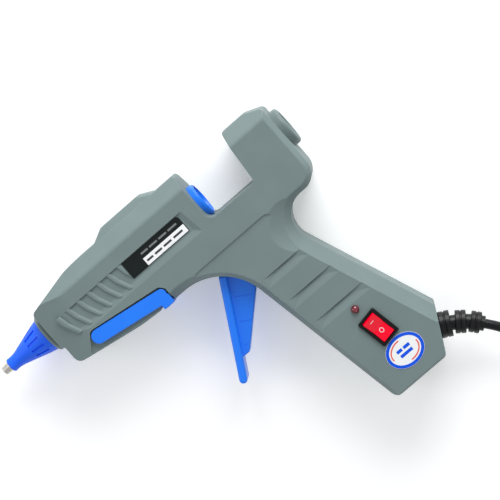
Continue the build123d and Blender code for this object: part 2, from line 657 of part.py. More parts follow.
def trigger():
    """The trigger: a broad finger plate on a web, and a forked arm that moves the carriage."""
    px, py = TRIGGER_PIVOT
    lean = radians(30)
    down = (-sin(lean), -cos(lean))
    back = (cos(lean), -sin(lean))
    top = (px - 4.8, py - 5.8)

    def on_plate(along, behind):
        return (top[0] + down[0] * along + back[0] * behind, top[1] + down[1] * along + back[1] * behind)

    plate = [(*on_plate(0, 0), 1.0), (*on_plate(51.7, 0), 1.9), (*on_plate(51.7, 3.9), 1.9), (*on_plate(0, 3.9), 1.0)]
    finger = prism(plate, -TRIGGER_HALF_WIDTH, TRIGGER_HALF_WIDTH)
    finger = fillet(finger.edges().filter_by(lambda e: e.length > 30), 1.2)
    web = [
        (*on_plate(-4.0, 2.4), 0),
        (*on_plate(40.6, 2.4), 0),
        (px - 17.2, py - 42.1, 1.2),
        (px + 5.6, py - 20.6, 2.5),
        (px + 4.6, py, 0),
        (px - 4.6, py, 0),
    ]
    web = prism(web, -WEB_HALF_WIDTH, WEB_HALF_WIDTH)
    rear = web.edges().filter_by(lambda e: e.length > 25 and e.center().X > px - 8)
    web = fillet(rear, 1.0)
    tilt = -TRIGGER_SWING / 2
    arm = Pos(px, py, 0) * Rot(0, 0, tilt) * block(-3.9, 3.9, 0, ARM_HEIGHT + 1.7, -ARM_HALF_WIDTH, ARM_HALF_WIDTH)
    slot = CARRIAGE_PIN_RADIUS + 0.1
    fork = block(-slot, slot, ARM_HEIGHT - 0.6, ARM_HEIGHT + 5, -10, 10) + rod_z(0, ARM_HEIGHT - 0.6, slot, -10, 10)
    arm = arm - Pos(px, py, 0) * Rot(0, 0, tilt) * fork
    hub = rod_z(px, py, 4.6, -WEB_HALF_WIDTH, WEB_HALF_WIDTH)
    lines = Part()
    for along in TRIGGER_LINES:
        low, high = along - TRIGGER_LINE_WIDTH / 2, along + TRIGGER_LINE_WIDTH / 2
        line = [(*on_plate(*spot), 0) for spot in ((low, 5.5), (high, 5.5), (high, 30.0), (low, 30.0))]
        lines = lines + both_sides(prism(line, WEB_HALF_WIDTH - 0.3, WEB_HALF_WIDTH + 1.0))
    lever = finger + web - lines + arm + hub
    return lever - rod_z(px, py, TRIGGER_PIN_RADIUS + PIN_CLEARANCE, -20, 20)


def carriage():
    """The sleeve that holds the stick, with lugs for the trigger, the jaw and the spring."""
    sleeve = turned(
        [
            (CARRIAGE_X, BORE_RADIUS), (CARRIAGE_X, SLEEVE_RADIUS - 0.4), (CARRIAGE_X + 0.4, SLEEVE_RADIUS),
            (CARRIAGE_REAR_X - 1.0, SLEEVE_RADIUS), (CARRIAGE_REAR_X, SLEEVE_RADIUS - 0.8),
            (CARRIAGE_REAR_X, SLEEVE_RADIUS - 1.2), (CARRIAGE_REAR_X - 2.6, BORE_RADIUS),
        ]
    )
    x0, x1 = PIN_REST_X - 3.8, PIN_REST_X + 3.6
    lugs = both_sides(block(x0, x1, PIN_Y - 2.2, -5.0, LUG_Z, LUG_Z + 3.2))
    ear = block(x1 - 3.2, x1, SPRING_Y - 2.2, PIN_Y - 2.0, LUG_Z, LUG_Z + 3.2)
    jx, jy = JAW_PIVOT
    z = JAW_HALF_WIDTH + 0.3
    ears = both_sides(block(jx - 2.1, jx + 1.7, 5.0, jy + 2.2, z, z + 2.0))
    window = block(jx - 9.2, jx - 2.1, 3.0, 20, -z, z)
    solid = sleeve + lugs + ear + ears - window - rod_x(BORE_RADIUS, CARRIAGE_X, CARRIAGE_REAR_X - 3)
    solid = solid - rod_z(PIN_REST_X, PIN_Y, CARRIAGE_PIN_RADIUS, -10, 10)
    solid = solid - rod_z(jx, jy, JAW_PIN_RADIUS, -10, 10)
    return solid - rod_z(x1 - 1.6, SPRING_Y, 0.6, -10, 10)


def carriage_pin():
    return rod_z(PIN_REST_X, PIN_Y, CARRIAGE_PIN_RADIUS, -LUG_Z - 3.2, LUG_Z + 3.2)


def jaw_pin():
    reach = JAW_HALF_WIDTH + 2.3
    return rod_z(*JAW_PIVOT, JAW_PIN_RADIUS, -reach, reach)


def grip_jaw():
    """The toothed jaw that bites the stick as the carriage goes forward."""
    jx, jy = JAW_PIVOT
    tip = STICK_RADIUS + 0.5 - jy
    side = [
        (jx + 0.4, jy + 1.3, 0), (jx - 0.4, jy - 1.3, 0), (jx - 2.6, jy - 1.4, 0), (jx - 5.4, jy + tip + 0.5, 0),
        (jx - 6.0, jy + tip, 0), (jx - 6.5, jy + tip + 0.6, 0), (jx - 7.1, jy + tip, 0), (jx - 7.8, jy + tip + 0.9, 0),
        (jx - 7.6, jy - 1.2, 1.0),
    ]
    jaw = prism(side, -JAW_HALF_WIDTH, JAW_HALF_WIDTH) + rod_z(jx, jy, 1.4, -JAW_HALF_WIDTH, JAW_HALF_WIDTH)
    return jaw - rod_z(jx, jy, JAW_PIN_RADIUS + PIN_CLEARANCE, -10, 10)


def return_spring():
    """The outer shape of the spring that draws the carriage back."""
    x0 = PIN_REST_X + 3.6 + 0.3
    x1 = SPRING_POST_X - 2.2 - 0.3
    tube = rod_x(SPRING_RADIUS, x0, x1, SPRING_Y, SPRING_Z)
    return tube - rod_x(SPRING_RADIUS - 0.6, x0 - 1, x1 + 1, SPRING_Y, SPRING_Z)


def stand():
    """The folding stand: two arms in the barrel's sides and a bar under it that joins them."""
    x, y = STAND_PIVOT
    inner = HALF_WIDTH - STAND_BAR - STAND_GAP
    outer = HALF_WIDTH - STAND_GAP
    bar = [(0, 3.6, 0), (STAND_LENGTH + 3.2, 3.6, 2.4), (STAND_LENGTH + 3.2, -3.6, 0), (0, -3.6, 0)]
    arm = Pos(x, y, 0) * Rot(0, 0, STAND_SLOPE) * (prism(bar, inner, outer) + rod_z(0, 0, 3.6, inner, outer))
    foot = x + STAND_LENGTH
    low, high = BARREL_BOTTOM_Y - 0.6, BARREL_BOTTOM_Y + 1.7
    drop = prism([(foot - 2.9, low, 0.8), (foot + 2.9, low, 1.2), (foot + 3.3, y - 6, 0), (foot - 2.9, y - 6, 0)], inner, outer)
    arm = arm + drop
    arm = fillet(arm.faces().sort_by(Axis.Z)[-1].edges(), 0.5)
    pin = rod_z(x, y, STAND_PIN_RADIUS, HALF_WIDTH - STAND_BAR - 2 * STAND_GAP - WALL, inner + 0.1)
    cross = block(foot - 2.9, foot + 2.9, low, high, -inner - 0.2, inner + 0.2)
    return both_sides(arm + pin) + cross


# ---- switch, lamp and labels ----


def switch_housing():
    wide, tall = SWITCH_WIDTH, SWITCH_LENGTH
    bezel = Pos(0, 0, 0.75) * Box(wide, tall, 1.5)
    bezel = fillet(bezel.edges().filter_by(Axis.Z), 0.8)
    bezel = fillet(bezel.faces().sort_by(Axis.Z)[-1].edges(), 0.5)
    body = Pos(0, 0, -SWITCH_DEPTH / 2) * Box(wide - 1.4 - 2 * SEAT_CLEARANCE, tall - 2.0 - 2 * SEAT_CLEARANCE, SWITCH_DEPTH)
    gap = 0.15
    well = Pos(0, 0, -2.0) * Box(2 * (ROCKER_HALF_WIDTH + gap), 2 * (ROCKER_RADIUS + gap), 8.0)
    deep = Rot(0, 90, 0) * Cylinder(ROCKER_RADIUS + gap, 2 * (ROCKER_HALF_WIDTH + gap))
    axle = Pos(0, 0, ROCKER_Z) * Rot(0, 90, 0) * Cylinder(0.8 + PIN_CLEARANCE, 2 * (ROCKER_HALF_WIDTH + 0.7))
    return SWITCH_PLACE * (bezel + body - well - Pos(0, 0, ROCKER_Z) * deep - axle)


def rocker_switch():
    """The rocker, resting with its lower end pressed in."""
    top = [(-9, 3.4), (0, 1.7), (9, 3.4), (9, -3.0), (-9, -3.0)]
    profile = make_face(Polyline(*top, close=True)) & Circle(ROCKER_RADIUS)
    side = extrude(Plane.YZ * profile, amount=ROCKER_HALF_WIDTH, both=True)
    side = fillet(side.faces().sort_by(Axis.X)[-1].edges() + side.faces().sort_by(Axis.X)[0].edges(), 0.35)
    axle = Rot(0, 90, 0) * Cylinder(0.8, 2 * (ROCKER_HALF_WIDTH + 0.6))
    return SWITCH_PLACE * Pos(0, 0, ROCKER_Z) * Rot(ROCKER_TILT, 0, 0) * (side + axle)


def switch_terminals():
    blades = Part()
    for y in (-4.0, 4.0):
        blades = blades + SWITCH_PLACE * Pos(0, y, -SWITCH_DEPTH - 2.75) * Box(4.8, 0.8, 5.5)
    return blades


def led_lens():
    stem = Pos(0, 0, -1.9) * Cylinder(LED_RADIUS, 4.2)
    dome = Pos(0, 0, 0.2) * Sphere(LED_RADIUS) & Pos(0, 0, 2.2) * Box(8, 8, 4)
    return LED_PLACE * (stem + dome)


def led_board():
    board = Pos(0, 0, -4.6) * Box(9.0, 7.0, 1.2)
    resistor = Pos(0, -1.5, -6.2) * Rot(0, 90, 0) * Cylinder(1.0, 5.0)
    return LED_PLACE * (board + resistor)


def rating_plate():
    z = HALF_WIDTH - RECESS_DEPTH
    top = 2.4
    plate = [
        (PLATE_X, top, 0.3), (PLATE_X + PLATE_LENGTH, top, 1.6),
        (PLATE_X + PLATE_LENGTH, top - PLATE_HEIGHT, 0.3), (PLATE_X, top - PLATE_HEIGHT, 0.3),
    ]
    return prism(plate, z, z + PLATE_THICKNESS)


def rating_strip():
    z = HALF_WIDTH - RECESS_DEPTH + PLATE_THICKNESS
    x0, x1 = PLATE_X + 0.27 * PLATE_LENGTH, PLATE_X + PLATE_LENGTH - 0.3
    return block(x0, x1, 2.7 - PLATE_HEIGHT, 6.7 - PLATE_HEIGHT, z, z + 0.1)


def inspection_sticker():
    return STICKER_PLACE * Pos(0, 0, 0.1) * extrude(Ellipse(9.7, 7.95), amount=0.1, both=True)


# ---- cord ----


def relief_places():
    """Where each stretch of the relief starts, and last, where the cord leaves it."""
    places = [RELIEF_PLACE]
    for length, bend in RELIEF_STEPS:
        places.append(places[-1] * Pos(length, 0, 0) * Rot(0, 0, bend))
    return places


def strain_relief():
    """The moulded relief: a neck in the housing's wall and three thick stretches on a core."""
    solid = RELIEF_PLACE * (rod_x(GLAND_RADIUS, -3.6, 0.2) + rod_x(GLAND_RADIUS + 1.6, -6.0, -3.6))
    for place, radius, (length, bend) in zip(relief_places(), (6.3, 5.5, 5.1), RELIEF_STEPS):
        head = rod_x(radius, 0.0, length - 2.0)
        head = fillet(head.edges().filter_by(GeomType.CIRCLE), 0.6)
        solid = solid + place * head + place * rod_x(3.6, -0.6, length)
    return solid


def cord_tail():
    """The cord inside the housing, from the relief to where its wires part."""
    return RELIEF_PLACE * rod_x(CORD_RADIUS, -6.0 - TAIL_LENGTH, -6.0)


def cord_clamp():
    """The bar that holds the cord's tail, screwed to two stubs."""
    bar = block(CLAMP_X - 2.5, CLAMP_X + 2.5, -8.0, 8.0, CORD_RADIUS, CORD_RADIUS + 2.2)
    bar = fillet(bar.edges().filter_by(Axis.Z), 1.5)
    for y in (-5.2, 5.2):
        bar = bar - rod_z(CLAMP_X, y, 1.2, -20, 20)
    return RELIEF_PLACE * bar


def clamp_screws():
    screws = Part()
    for y in (-5.2, 5.2):
        head_z = CORD_RADIUS + 2.2
        head = rod_z(CLAMP_X, y, 2.2, head_z, head_z + 1.6)
        slot = Pos(CLAMP_X, y, head_z + 1.6) * Box(5, 0.6, 1.2)
        screws = screws + (head - slot) + rod_z(CLAMP_X, y, 1.2, -5.0, head_z)
    return RELIEF_PLACE * screws


def wire(points, radius=6.0):
    """A wire in the housing, along straight runs with round corners."""
    path = FilletPolyline(*points, radius=radius)
    return sweep(Plane(origin=path @ 0, z_dir=path % 0) * Circle(WIRE_RADIUS), path=path)


def inner_wires():
    """The neutral wire to the heater, the live wire to the switch and on to the heater."""
    tail = (RELIEF_PLACE * Pos(-6.0 - TAIL_LENGTH, 0, 0)).position
    away = Vector(-cos(radians(RELIEF_ANGLE)), -sin(radians(RELIEF_ANGLE)), 0)
    low, high = (SWITCH_PLACE * Pos(0, y, -SWITCH_DEPTH - 4.8) for y in (-4.0, 4.0))
    low, high = low.position, high.position
    heater_x = HEATER_X + HEATER_LENGTH + 4.5
    heater_y = HEATER_TOP_Y - HEATER_HEIGHT / 2
    neck = TRIGGER_PIVOT[0] + 16.0
    neutral = [
        tail + Vector(0, 0, -1.2), tail + away * 9 + Vector(0, 0, -6.0),
        (grip_front(-75) + 19.0, -75.0, -11.3), (grip_front(-45) + 13.0, -45.0, -11.3),
        (neck, -17.5, -11.3), (TRIGGER_PIVOT[0] - 6, -14.0, -11.0), (heater_x + 1.5, heater_y, -3.4),
    ]
    live = [tail + Vector(0, 0, 1.2), tail + away * 5 + Vector(0, 0, 1.0), low + Vector(3.0, -1.2, 0), low + Vector(0.2, -1.2, 0)]
    fed = [
        high + Vector(0, 1.2, 0), high + Vector(-1.0, 9.0, 2.0), (grip_front(-66) + 16.0, -66.0, 11.3),
        (grip_front(-45) + 13.0, -45.0, 11.3), (neck, -17.5, 11.3), (TRIGGER_PIVOT[0] - 6, -14.0, 11.0),
        (heater_x + 1.5, heater_y, 3.4),
    ]
    return wire(neutral), wire(live, 1.2), wire(fed)


def relief_exit():
    """The end of the relief and the way that the cord leaves it, on the surface's own axes."""
    place = TO_SURFACE * relief_places()[-1]
    start = place.position
    heading = (place * Pos(1, 0, 0)).position - start
    return start, heading


def route_radii(points):
    """Each corner's radius: 0.45 of its shorter run, over the tangent of half its turn."""
    points = [Vector(*p) if isinstance(p, tuple) else p for p in points]
    radii = []
    for a, b, c in zip(points, points[1:], points[2:]):
        turn = radians((b - a).get_angle(c - b))
        radii.append(0.45 * min((b - a).length, (c - b).length) / tan(turn / 2))
    return points, radii


def tube(points):
    points, radii = route_radii(points)
    path = FilletPolyline(*points, radius=radii)
    solid = sweep(Plane(origin=path @ 0, z_dir=path % 0) * Circle(CORD_RADIUS), path=path)
    ideal = pi * CORD_RADIUS**2 * path.length
    print("cord radii", [round(r, 1) for r in radii], "volume", round(solid.volume, 1), "of", round(ideal, 1))
    return solid


def power_cord():
    start, heading = relief_exit()
    first = tube([start, start + heading * FIRST_RUN, *ROUTE_DOWN])
    last = tube([*ROUTE_UP, PLUG_AT])
    return first + last


def cord_coil():
    """The outer shape of the wound cord."""
    x, y = COIL_CENTRE
    half = COIL_BUNDLE / 2
    section = Pos(COIL_RADIUS, 0, COIL_FLOOR + half) * Rot(90, 0, 0) * RectangleRounded(COIL_BUNDLE, COIL_BUNDLE, 4.5)
    return Pos(x, y, 0) * revolve(section, axis=Axis.Z)


def coil_tie():
    """The flat strap round the coil."""
    x, y = COIL_CENTRE
    size = COIL_BUNDLE + 0.5
    strap = RectangleRounded(size + 1.6, size + 1.6, 5.4) - RectangleRounded(size, size, 4.6)
    strap = extrude(Rot(90, 0, 0) * strap, amount=3.5, both=True)
    return Pos(x, y, COIL_FLOOR + COIL_BUNDLE / 2) * Rot(0, 0, 35) * Pos(COIL_RADIUS, 0, 0) * strap


def plug_body():
    x0 = PLUG_SLEEVE
    side = [
        (x0 - 3.0, 4.0, 2.0), (x0 + 7.0, PLUG_WIDTH / 2, 5.0), (x0 + PLUG_LENGTH, PLUG_WIDTH / 2, 1.5),
        (x0 + PLUG_LENGTH, -PLUG_WIDTH / 2, 1.5), (x0 + 7.0, -PLUG_WIDTH / 2, 5.0), (x0 - 3.0, -4.0, 2.0),
    ]
    body = prism(side, -PLUG_HEIGHT / 2, PLUG_HEIGHT / 2)
    body = fillet(body.faces().sort_by(Axis.Z)[-1].edges() + body.faces().sort_by(Axis.Z)[0].edges(), 2.0)
    sleeve = revolve(make_face(Polyline((0, 0), (0, 3.3), (x0, 4.6), (x0, 0), close=True)), axis=Axis.X)
    for i in range(4):
        x = 1.8 + 3.0 * i
        sleeve = sleeve - (rod_x(8, x, x + 1.1) - rod_x(3.0, x - 1, x + 3))
    return Pos(*PLUG_AT) * (body + sleeve)


def plug_blades():
    blades = Part()
    x0 = PLUG_SLEEVE + PLUG_LENGTH
    for y in (-BLADE_SPACING / 2, BLADE_SPACING / 2):
        blade = Pos(x0 + BLADE_LENGTH / 2, y, 0) * Box(BLADE_LENGTH, 1.5, 6.3)
        blade = fillet(blade.faces().sort_by(Axis.X)[-1].edges().filter_by(Axis.Y), 1.6)
        blades = blades + (blade - rod_along_y(x0 + BLADE_LENGTH - 3.2, 1.6, 10))
    return Pos(*PLUG_AT) * blades


def rod_along_y(x, radius, reach):
    return Pos(x, 0, 0) * Rot(90, 0, 0) * Cylinder(radius, 2 * reach)


# ---- every piece, moved to stand on the surface ----
TO_SURFACE = Pos(-GUIDE_REAR_X / 2, -(HUMP_TOP_Y + BUTT_Y) / 2, HALF_WIDTH)


def pieces():
    left, right = shells()
    insulation, heater, electrodes = heater_parts()
    neutral, live, fed = inner_wires()
    gun = {
        "left_shell": left,
        "right_shell": right,
        "housing_screws": housing_screws(),
        "nozzle_tip": nozzle_tip(),
        "nozzle_cover": nozzle_cover(),
        "front_collar": front_collar(),
        "melt_chamber": melt_chamber(),
        "heater_insulation": insulation,
        "heater_element": heater,
        "heater_electrodes": electrodes,
        "inlet_sleeve": inlet_sleeve(),
        "sleeve_clamp": sleeve_clamp(),
        "chamber_supports": chamber_supports(),
        "rear_guide": rear_guide(),
        "trigger": trigger(),
        "trigger_pin": rod_z(*TRIGGER_PIVOT, TRIGGER_PIN_RADIUS, -TRIGGER_PIN_REACH, TRIGGER_PIN_REACH),
        "carriage": carriage(),
        "carriage_pin": carriage_pin(),
        "grip_jaw": grip_jaw(),
        "jaw_pin": jaw_pin(),
        "return_spring": return_spring(),
        "stand": stand(),
        "switch_housing": switch_housing(),
        "rocker_switch": rocker_switch(),
        "switch_terminals": switch_terminals(),
        "led_lens": led_lens(),
        "led_board": led_board(),
        "rating_plate": rating_plate(),
        "rating_strip": rating_strip(),
        "inspection_sticker": inspection_sticker(),
        "strain_relief": strain_relief(),
        "cord_tail": cord_tail(),
        "cord_clamp": cord_clamp(),
        "clamp_screws": clamp_screws(),
        "neutral_wire": neutral,
        "live_wire": live,
        "heater_wire": fed,
    }
    made = {name: TO_SURFACE * solid for name, solid in gun.items()}
    made["power_cord"] = power_cord()
    made["cord_coil"] = cord_coil()
    made["coil_tie"] = coil_tie()
    made["plug_body"] = plug_body()
    made["plug_blades"] = plug_blades()
    return made


os.makedirs("parts", exist_ok=True)
for name, solid in pieces().items():
    export_step(solid, f"parts/{name}.step")
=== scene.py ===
import json
from math import cos, radians, sin, tau

import bmesh
import bpy
from bpy.props import FloatProperty, FloatVectorProperty, IntProperty, PointerProperty
from mathutils import Matrix, Vector
from mathutils.bvhtree import BVHTree


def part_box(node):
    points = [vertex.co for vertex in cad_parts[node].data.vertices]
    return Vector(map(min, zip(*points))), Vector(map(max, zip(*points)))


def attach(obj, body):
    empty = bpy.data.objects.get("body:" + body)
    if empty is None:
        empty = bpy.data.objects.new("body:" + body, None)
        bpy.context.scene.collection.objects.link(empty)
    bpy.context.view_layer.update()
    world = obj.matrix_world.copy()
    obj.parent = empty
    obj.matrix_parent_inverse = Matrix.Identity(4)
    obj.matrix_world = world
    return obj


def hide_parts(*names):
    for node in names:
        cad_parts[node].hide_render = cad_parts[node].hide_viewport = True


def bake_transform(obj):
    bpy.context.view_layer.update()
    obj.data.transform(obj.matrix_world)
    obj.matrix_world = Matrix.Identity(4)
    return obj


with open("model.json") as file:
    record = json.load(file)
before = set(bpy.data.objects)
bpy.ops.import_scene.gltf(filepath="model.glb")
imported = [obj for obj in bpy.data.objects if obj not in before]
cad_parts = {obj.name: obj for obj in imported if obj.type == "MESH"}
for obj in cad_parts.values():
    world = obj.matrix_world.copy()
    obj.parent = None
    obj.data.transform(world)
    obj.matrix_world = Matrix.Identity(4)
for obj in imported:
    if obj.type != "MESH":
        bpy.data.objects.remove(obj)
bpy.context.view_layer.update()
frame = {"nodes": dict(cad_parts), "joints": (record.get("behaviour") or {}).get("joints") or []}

bl_info = {
    "name": "Glue Gun Finisher",
    "version": (1, 0, 0),
    "blender": (4, 5, 0),
    "location": "View3D > Sidebar > Glue Gun",
    "description": "Finishes the packed glue gun: plastics, nozzle, switch, labels, relief, cord and stage",
    "category": "Object",
}

MM = 0.001

# Places in the frame, in millimetres
CORD_LEAVES = (96.5609, -76.8181, 18.0)
CORD_HEADING = (0.631703, -0.77521, 0.0)
FIRST_RUN = 7.2
ROUTE_DOWN = (
    (104.0, -88.9, 17.1), (105.6, -97.1, 14.8), (105.9, -105.7, 11.6), (106.1, -114.2, 8.6),
    (107.2, -122.3, 6.4),
)
ROUTE_UP = (
    (130.1, -94.3, 12.4), (120.9, -98.6, 12.6), (114.6, -106.4, 13.7), (112.2, -116.2, 15.6),
    (114.4, -126.1, 17.9), (120.7, -134.0, 20.0), (129.8, -138.4, 21.4), (139.9, -138.4, 21.4),
)
COIL_CENTRE = (136.5, -120.0, 0.0)
COIL_FLOOR = 1.1
# Each turn's place in the bundle: pitches out from the middle, and up from the lowest
COIL_PLACES = ((1, 0), (0, 0), (-1, 0), (-1, 1), (0, 1), (1, 1), (1, 2), (0, 2))
# Where the coil starts and ends, where a turn changes places, and over how much of it, in degrees
COIL_START, COIL_END, COIL_CHANGE, COIL_CHANGE_OVER = 200, 90, 184, 55

RELIEF_START = (80.19, -63.802, 18.0)
# Each block's length with the gap after it, its direction in degrees and its radius
RELIEF_BLOCKS = ((7.4, -27.82, 6.3), (7.0, -37.82, 5.5), (6.8, -50.82, 5.1))
RELIEF_GAP, RELIEF_SLOT, RELIEF_CORE = 1.9, 0.35, 3.6

SCREW_CENTRES = (
    (-52.2, 39.6), (4.3, 66.1), (3.3, 33.2), (69.8, 66.1), (69.8, 34.0), (57.29, -4.5), (50.45, -66.6),
    (78.09, -48.0),
)
SCREW_HEAD, SCREW_HEAD_HEIGHT, SCREW_THREAD, SCREW_POINT = 2.4, 2.0, 1.39, 1.3
SPRING_EYE, SPRING_POST, SPRING_LOOP = 1.9, 2.5, 2.55

# The bars printed on the plate and its strip: middle height, spans along, and how tall
PLATE_BARS = (53.4, ((-0.8, 3.2), (4.2, 8.9), (9.9, 14.6), (15.6, 20.8)), 0.9)
STRIP_BARS = (49.2, ((-0.6, 3.0), (4.2, 8.4), (9.6, 14.2), (15.6, 21.0)), 1.0)
# The sticker's bars, from its middle: start, end and height; and the middles of its arcs, in degrees
STICKER_BARS = ((-3.8, -0.8, 1.3), (0.1, 3.6, 1.3), (-3.5, 3.3, -1.3))
STICKER_ARCS = (-43, 137)

# What the camera looks at, from where and which way up, in metres
TARGET = (0.0366, 0.0209, 0.018)
VIEW_FROM = (0.107, 0.0552, 0.993)
VIEW_UP = (0.659, 0.752, 0.0)


# ---- sizes and colours that a user would change ----


def colour(name, description, value):
    """A colour setting with that default."""
    return FloatVectorProperty(
        name=name, description=description, subtype="COLOR", size=4, min=0.0, max=1.0, default=(*value, 1.0)
    )


def length(name, description, value):
    """A length setting with that default, in metres."""
    return FloatProperty(
        name=name, description=description, unit="LENGTH", min=0.0, precision=5, default=value
    )


class PlasticSettings(bpy.types.PropertyGroup):
    """Colours and grain of the mouldings."""

    housing: colour("Housing", "Colour of the two grey shells", (0.165, 0.222, 0.22))
    # The edge colour is partly real wear and partly a painted highlight, as if the bevels caught the key
    # light.
    worn_and_lit: colour("Worn and lit edges", "Colour that the housing takes along its edges", (0.25, 0.31, 0.305))
    blue: colour("Blue parts", "Colour of the trigger, stand and feed", (0.006, 0.2, 1.0))
    cover: colour("Nozzle cover", "Colour of the silicone cover on the nozzle", (0.0, 0.12, 1.0))
    black: colour("Black parts", "Colour of the switch frame, plug and relief", (0.004, 0.004, 0.005))
    grain_size: length("Grain size", "Width of one bump of the spark-eroded grain", 0.00035)
    grain_depth: length("Grain depth", "Depth of the grain", 0.00003)
    # How far the lighter edges reach: wear mixed with a painted highlight.
    wear_and_highlight_radius: length("Wear and highlight radius", "How far the wear reaches from an edge", 0.0007)


class SwitchSettings(bpy.types.PropertyGroup):
    """The rocker, its marks and the lamp."""

    rocker: colour("Rocker", "Colour of the rocker", (1.0, 0.0, 0.025))
    lamp: colour("Lamp", "Colour of the lamp's lens", (0.22, 0.004, 0.02))
    mark: colour("Marks", "Colour of the printed marks", (0.85, 0.83, 0.84))
    bar_length: length("Bar length", "Length of the on mark", 0.0021)
    ring_radius: length("Ring radius", "Outer radius of the off mark", 0.00108)
    line: length("Line width", "Width of both marks' lines", 0.0003)


class LabelSettings(bpy.types.PropertyGroup):
    """The rating plate and the round sticker."""

    plate: colour("Plate", "Colour of the rating plate", (0.008, 0.012, 0.012))
    white: colour("White print", "Colour of the white strip and the sticker", (0.93, 0.94, 0.95))
    rim: colour("Sticker rim", "Colour of the sticker's rim and bars", (0.0, 0.09, 0.78))
    arcs: colour("Sticker arcs", "Colour of the two arcs on the sticker", (0.85, 0.09, 0.05))
    rim_width: length("Rim width", "Width of the sticker's rim", 0.0015)
    bar_width: length("Bar width", "Width of the sticker's bars", 0.0015)
    arc_width: length("Arc width", "Width of the sticker's arcs", 0.0006)
    print_height: length("Print height", "Thickness of the printed layers", 0.00004)


class CordSettings(bpy.types.PropertyGroup):
    """The mains cord, wound for storage."""

    sheath: colour("Sheath", "Colour of the cord's sheath", (0.004, 0.004, 0.005))
    diameter: length("Diameter", "Outer diameter of the cord", 0.0046)
    turns: IntProperty(
        name="Turns", description="Turns in the coil, the last one open", min=1, max=20, default=8
    )
    points: IntProperty(
        name="Points a turn", description="Control points in each turn", min=12, max=32, default=16
    )
    coil_radius: length("Coil radius", "Radius at the middle of the turns", 0.026)
    slack: length("Slack", "How far a turn wanders from its place", 0.00025)


class SpringSettings(bpy.types.PropertyGroup):
    """The spring that draws the carriage back."""

    turns: FloatProperty(name="Turns", description="Turns between the hooks", min=1.0, max=80.0, default=24.0)
    wire: length("Wire", "Thickness of the wire", 0.0005)
    radius: length("Radius", "Radius at the middle of the wire", 0.00195)


class ScrewSettings(bpy.types.PropertyGroup):
    """The eight screws that hold the shells together."""

    pitch: length("Thread pitch", "Distance from one thread to the next", 0.0011)
    core: length("Core radius", "Radius of the screw under its thread", 0.00105)
    recess: length("Recess width", "Width of one arm of the cross recess", 0.00065)


class StageSettings(bpy.types.PropertyGroup):
    """Floor, light and camera."""

    floor: colour("Floor", "Colour of the floor", (0.97, 0.97, 0.97))
    view_width: length("View width", "Width that the camera sees at the gun", 0.2335)
    distance: length("Camera distance", "From the camera to the gun", 1.2)
    key: FloatProperty(
        name="Key light", description="Power of the large key light", unit="POWER", min=0.0, default=12.0
    )
    fill: FloatProperty(name="Sky", description="Strength of the light from all round", min=0.0, default=0.52)


class GlueGunSettings(bpy.types.PropertyGroup):
    """Everything that can be set on the glue gun."""

    plastic: PointerProperty(type=PlasticSettings)
    switch: PointerProperty(type=SwitchSettings)
    label: PointerProperty(type=LabelSettings)
    cord: PointerProperty(type=CordSettings)
    spring: PointerProperty(type=SpringSettings)
    screws: PointerProperty(type=ScrewSettings)
    stage: PointerProperty(type=StageSettings)


# ---- building node trees ----


def add(tree, kind, inputs=None, **settings):
    """Adds a node, sets it, and links or sets its inputs by name or number."""
    node = tree.nodes.new(kind)
    for name, value in settings.items():
        setattr(node, name, value)
    for key, value in (inputs or {}).items():
        if isinstance(value, bpy.types.NodeSocket):
            tree.links.new(value, node.inputs[key])
        else:
            node.inputs[key].default_value = value
    return node


def maths(tree, operation, *values, clamp=False):
    """The result of a Math node."""
    node = add(tree, "ShaderNodeMath", dict(enumerate(values)), operation=operation)
    node.use_clamp = clamp
    return node.outputs[0]


def blend_colours(tree, factor, a, b):
    """A colour between two others."""
    mix = add(tree, "ShaderNodeMix", data_type="RGBA")
    for socket, value in ((mix.inputs[0], factor), (mix.inputs[6], a), (mix.inputs[7], b)):
        if isinstance(value, bpy.types.NodeSocket):
            tree.links.new(value, socket)
        else:
            socket.default_value = value
    return mix.outputs[2]


def spread(tree, value, low, high, to_low, to_high):
    """The value mapped from one range to another, and held inside it."""
    node = add(tree, "ShaderNodeMapRange", {0: value, 1: low, 2: high, 3: to_low, 4: to_high})
    return node.outputs[0]


def object_place(tree, scale=(1.0, 1.0, 1.0), turn=(0.0, 0.0, 0.0)):
    """Object coordinates, stretched and turned."""
    place = add(tree, "ShaderNodeTexCoord").outputs["Object"]
    return add(tree, "ShaderNodeMapping", {"Vector": place, "Scale": scale, "Rotation": turn}).outputs[0]


def drive(tree, shader, name, value):
    """Links a value to that input of the shader."""
    tree.links.new(value, shader.inputs[name])


def noise(tree, place, scale, detail=2.0, rough=0.5):
    """Noise at that scale, from 0 to 1."""
    inputs = {"Vector": place, "Scale": scale, "Detail": detail, "Roughness": rough}
    return add(tree, "ShaderNodeTexNoise", inputs).outputs["Fac"]


def group_tree(name, inputs, outputs):
    """An empty shader group with those sockets, and its two end nodes; None if it is there already."""
    if name in bpy.data.node_groups:
        return None
    tree = bpy.data.node_groups.new(name, "ShaderNodeTree")
    for label, value in inputs:
        socket = tree.interface.new_socket(label, in_out="INPUT", socket_type="NodeSocketFloat")
        socket.default_value = value
    for label in outputs:
        tree.interface.new_socket(label, in_out="OUTPUT", socket_type="NodeSocketFloat")
    return tree, tree.nodes.new("NodeGroupInput"), tree.nodes.new("NodeGroupOutput")


def placed(tree, group, **values):
    """A shared group placed in a material, with its own values."""
    node = add(tree, "ShaderNodeGroup")
    node.node_tree = bpy.data.node_groups[group]
    for name, value in values.items():
        node.inputs[name.replace("_", " ")].default_value = value
    return node


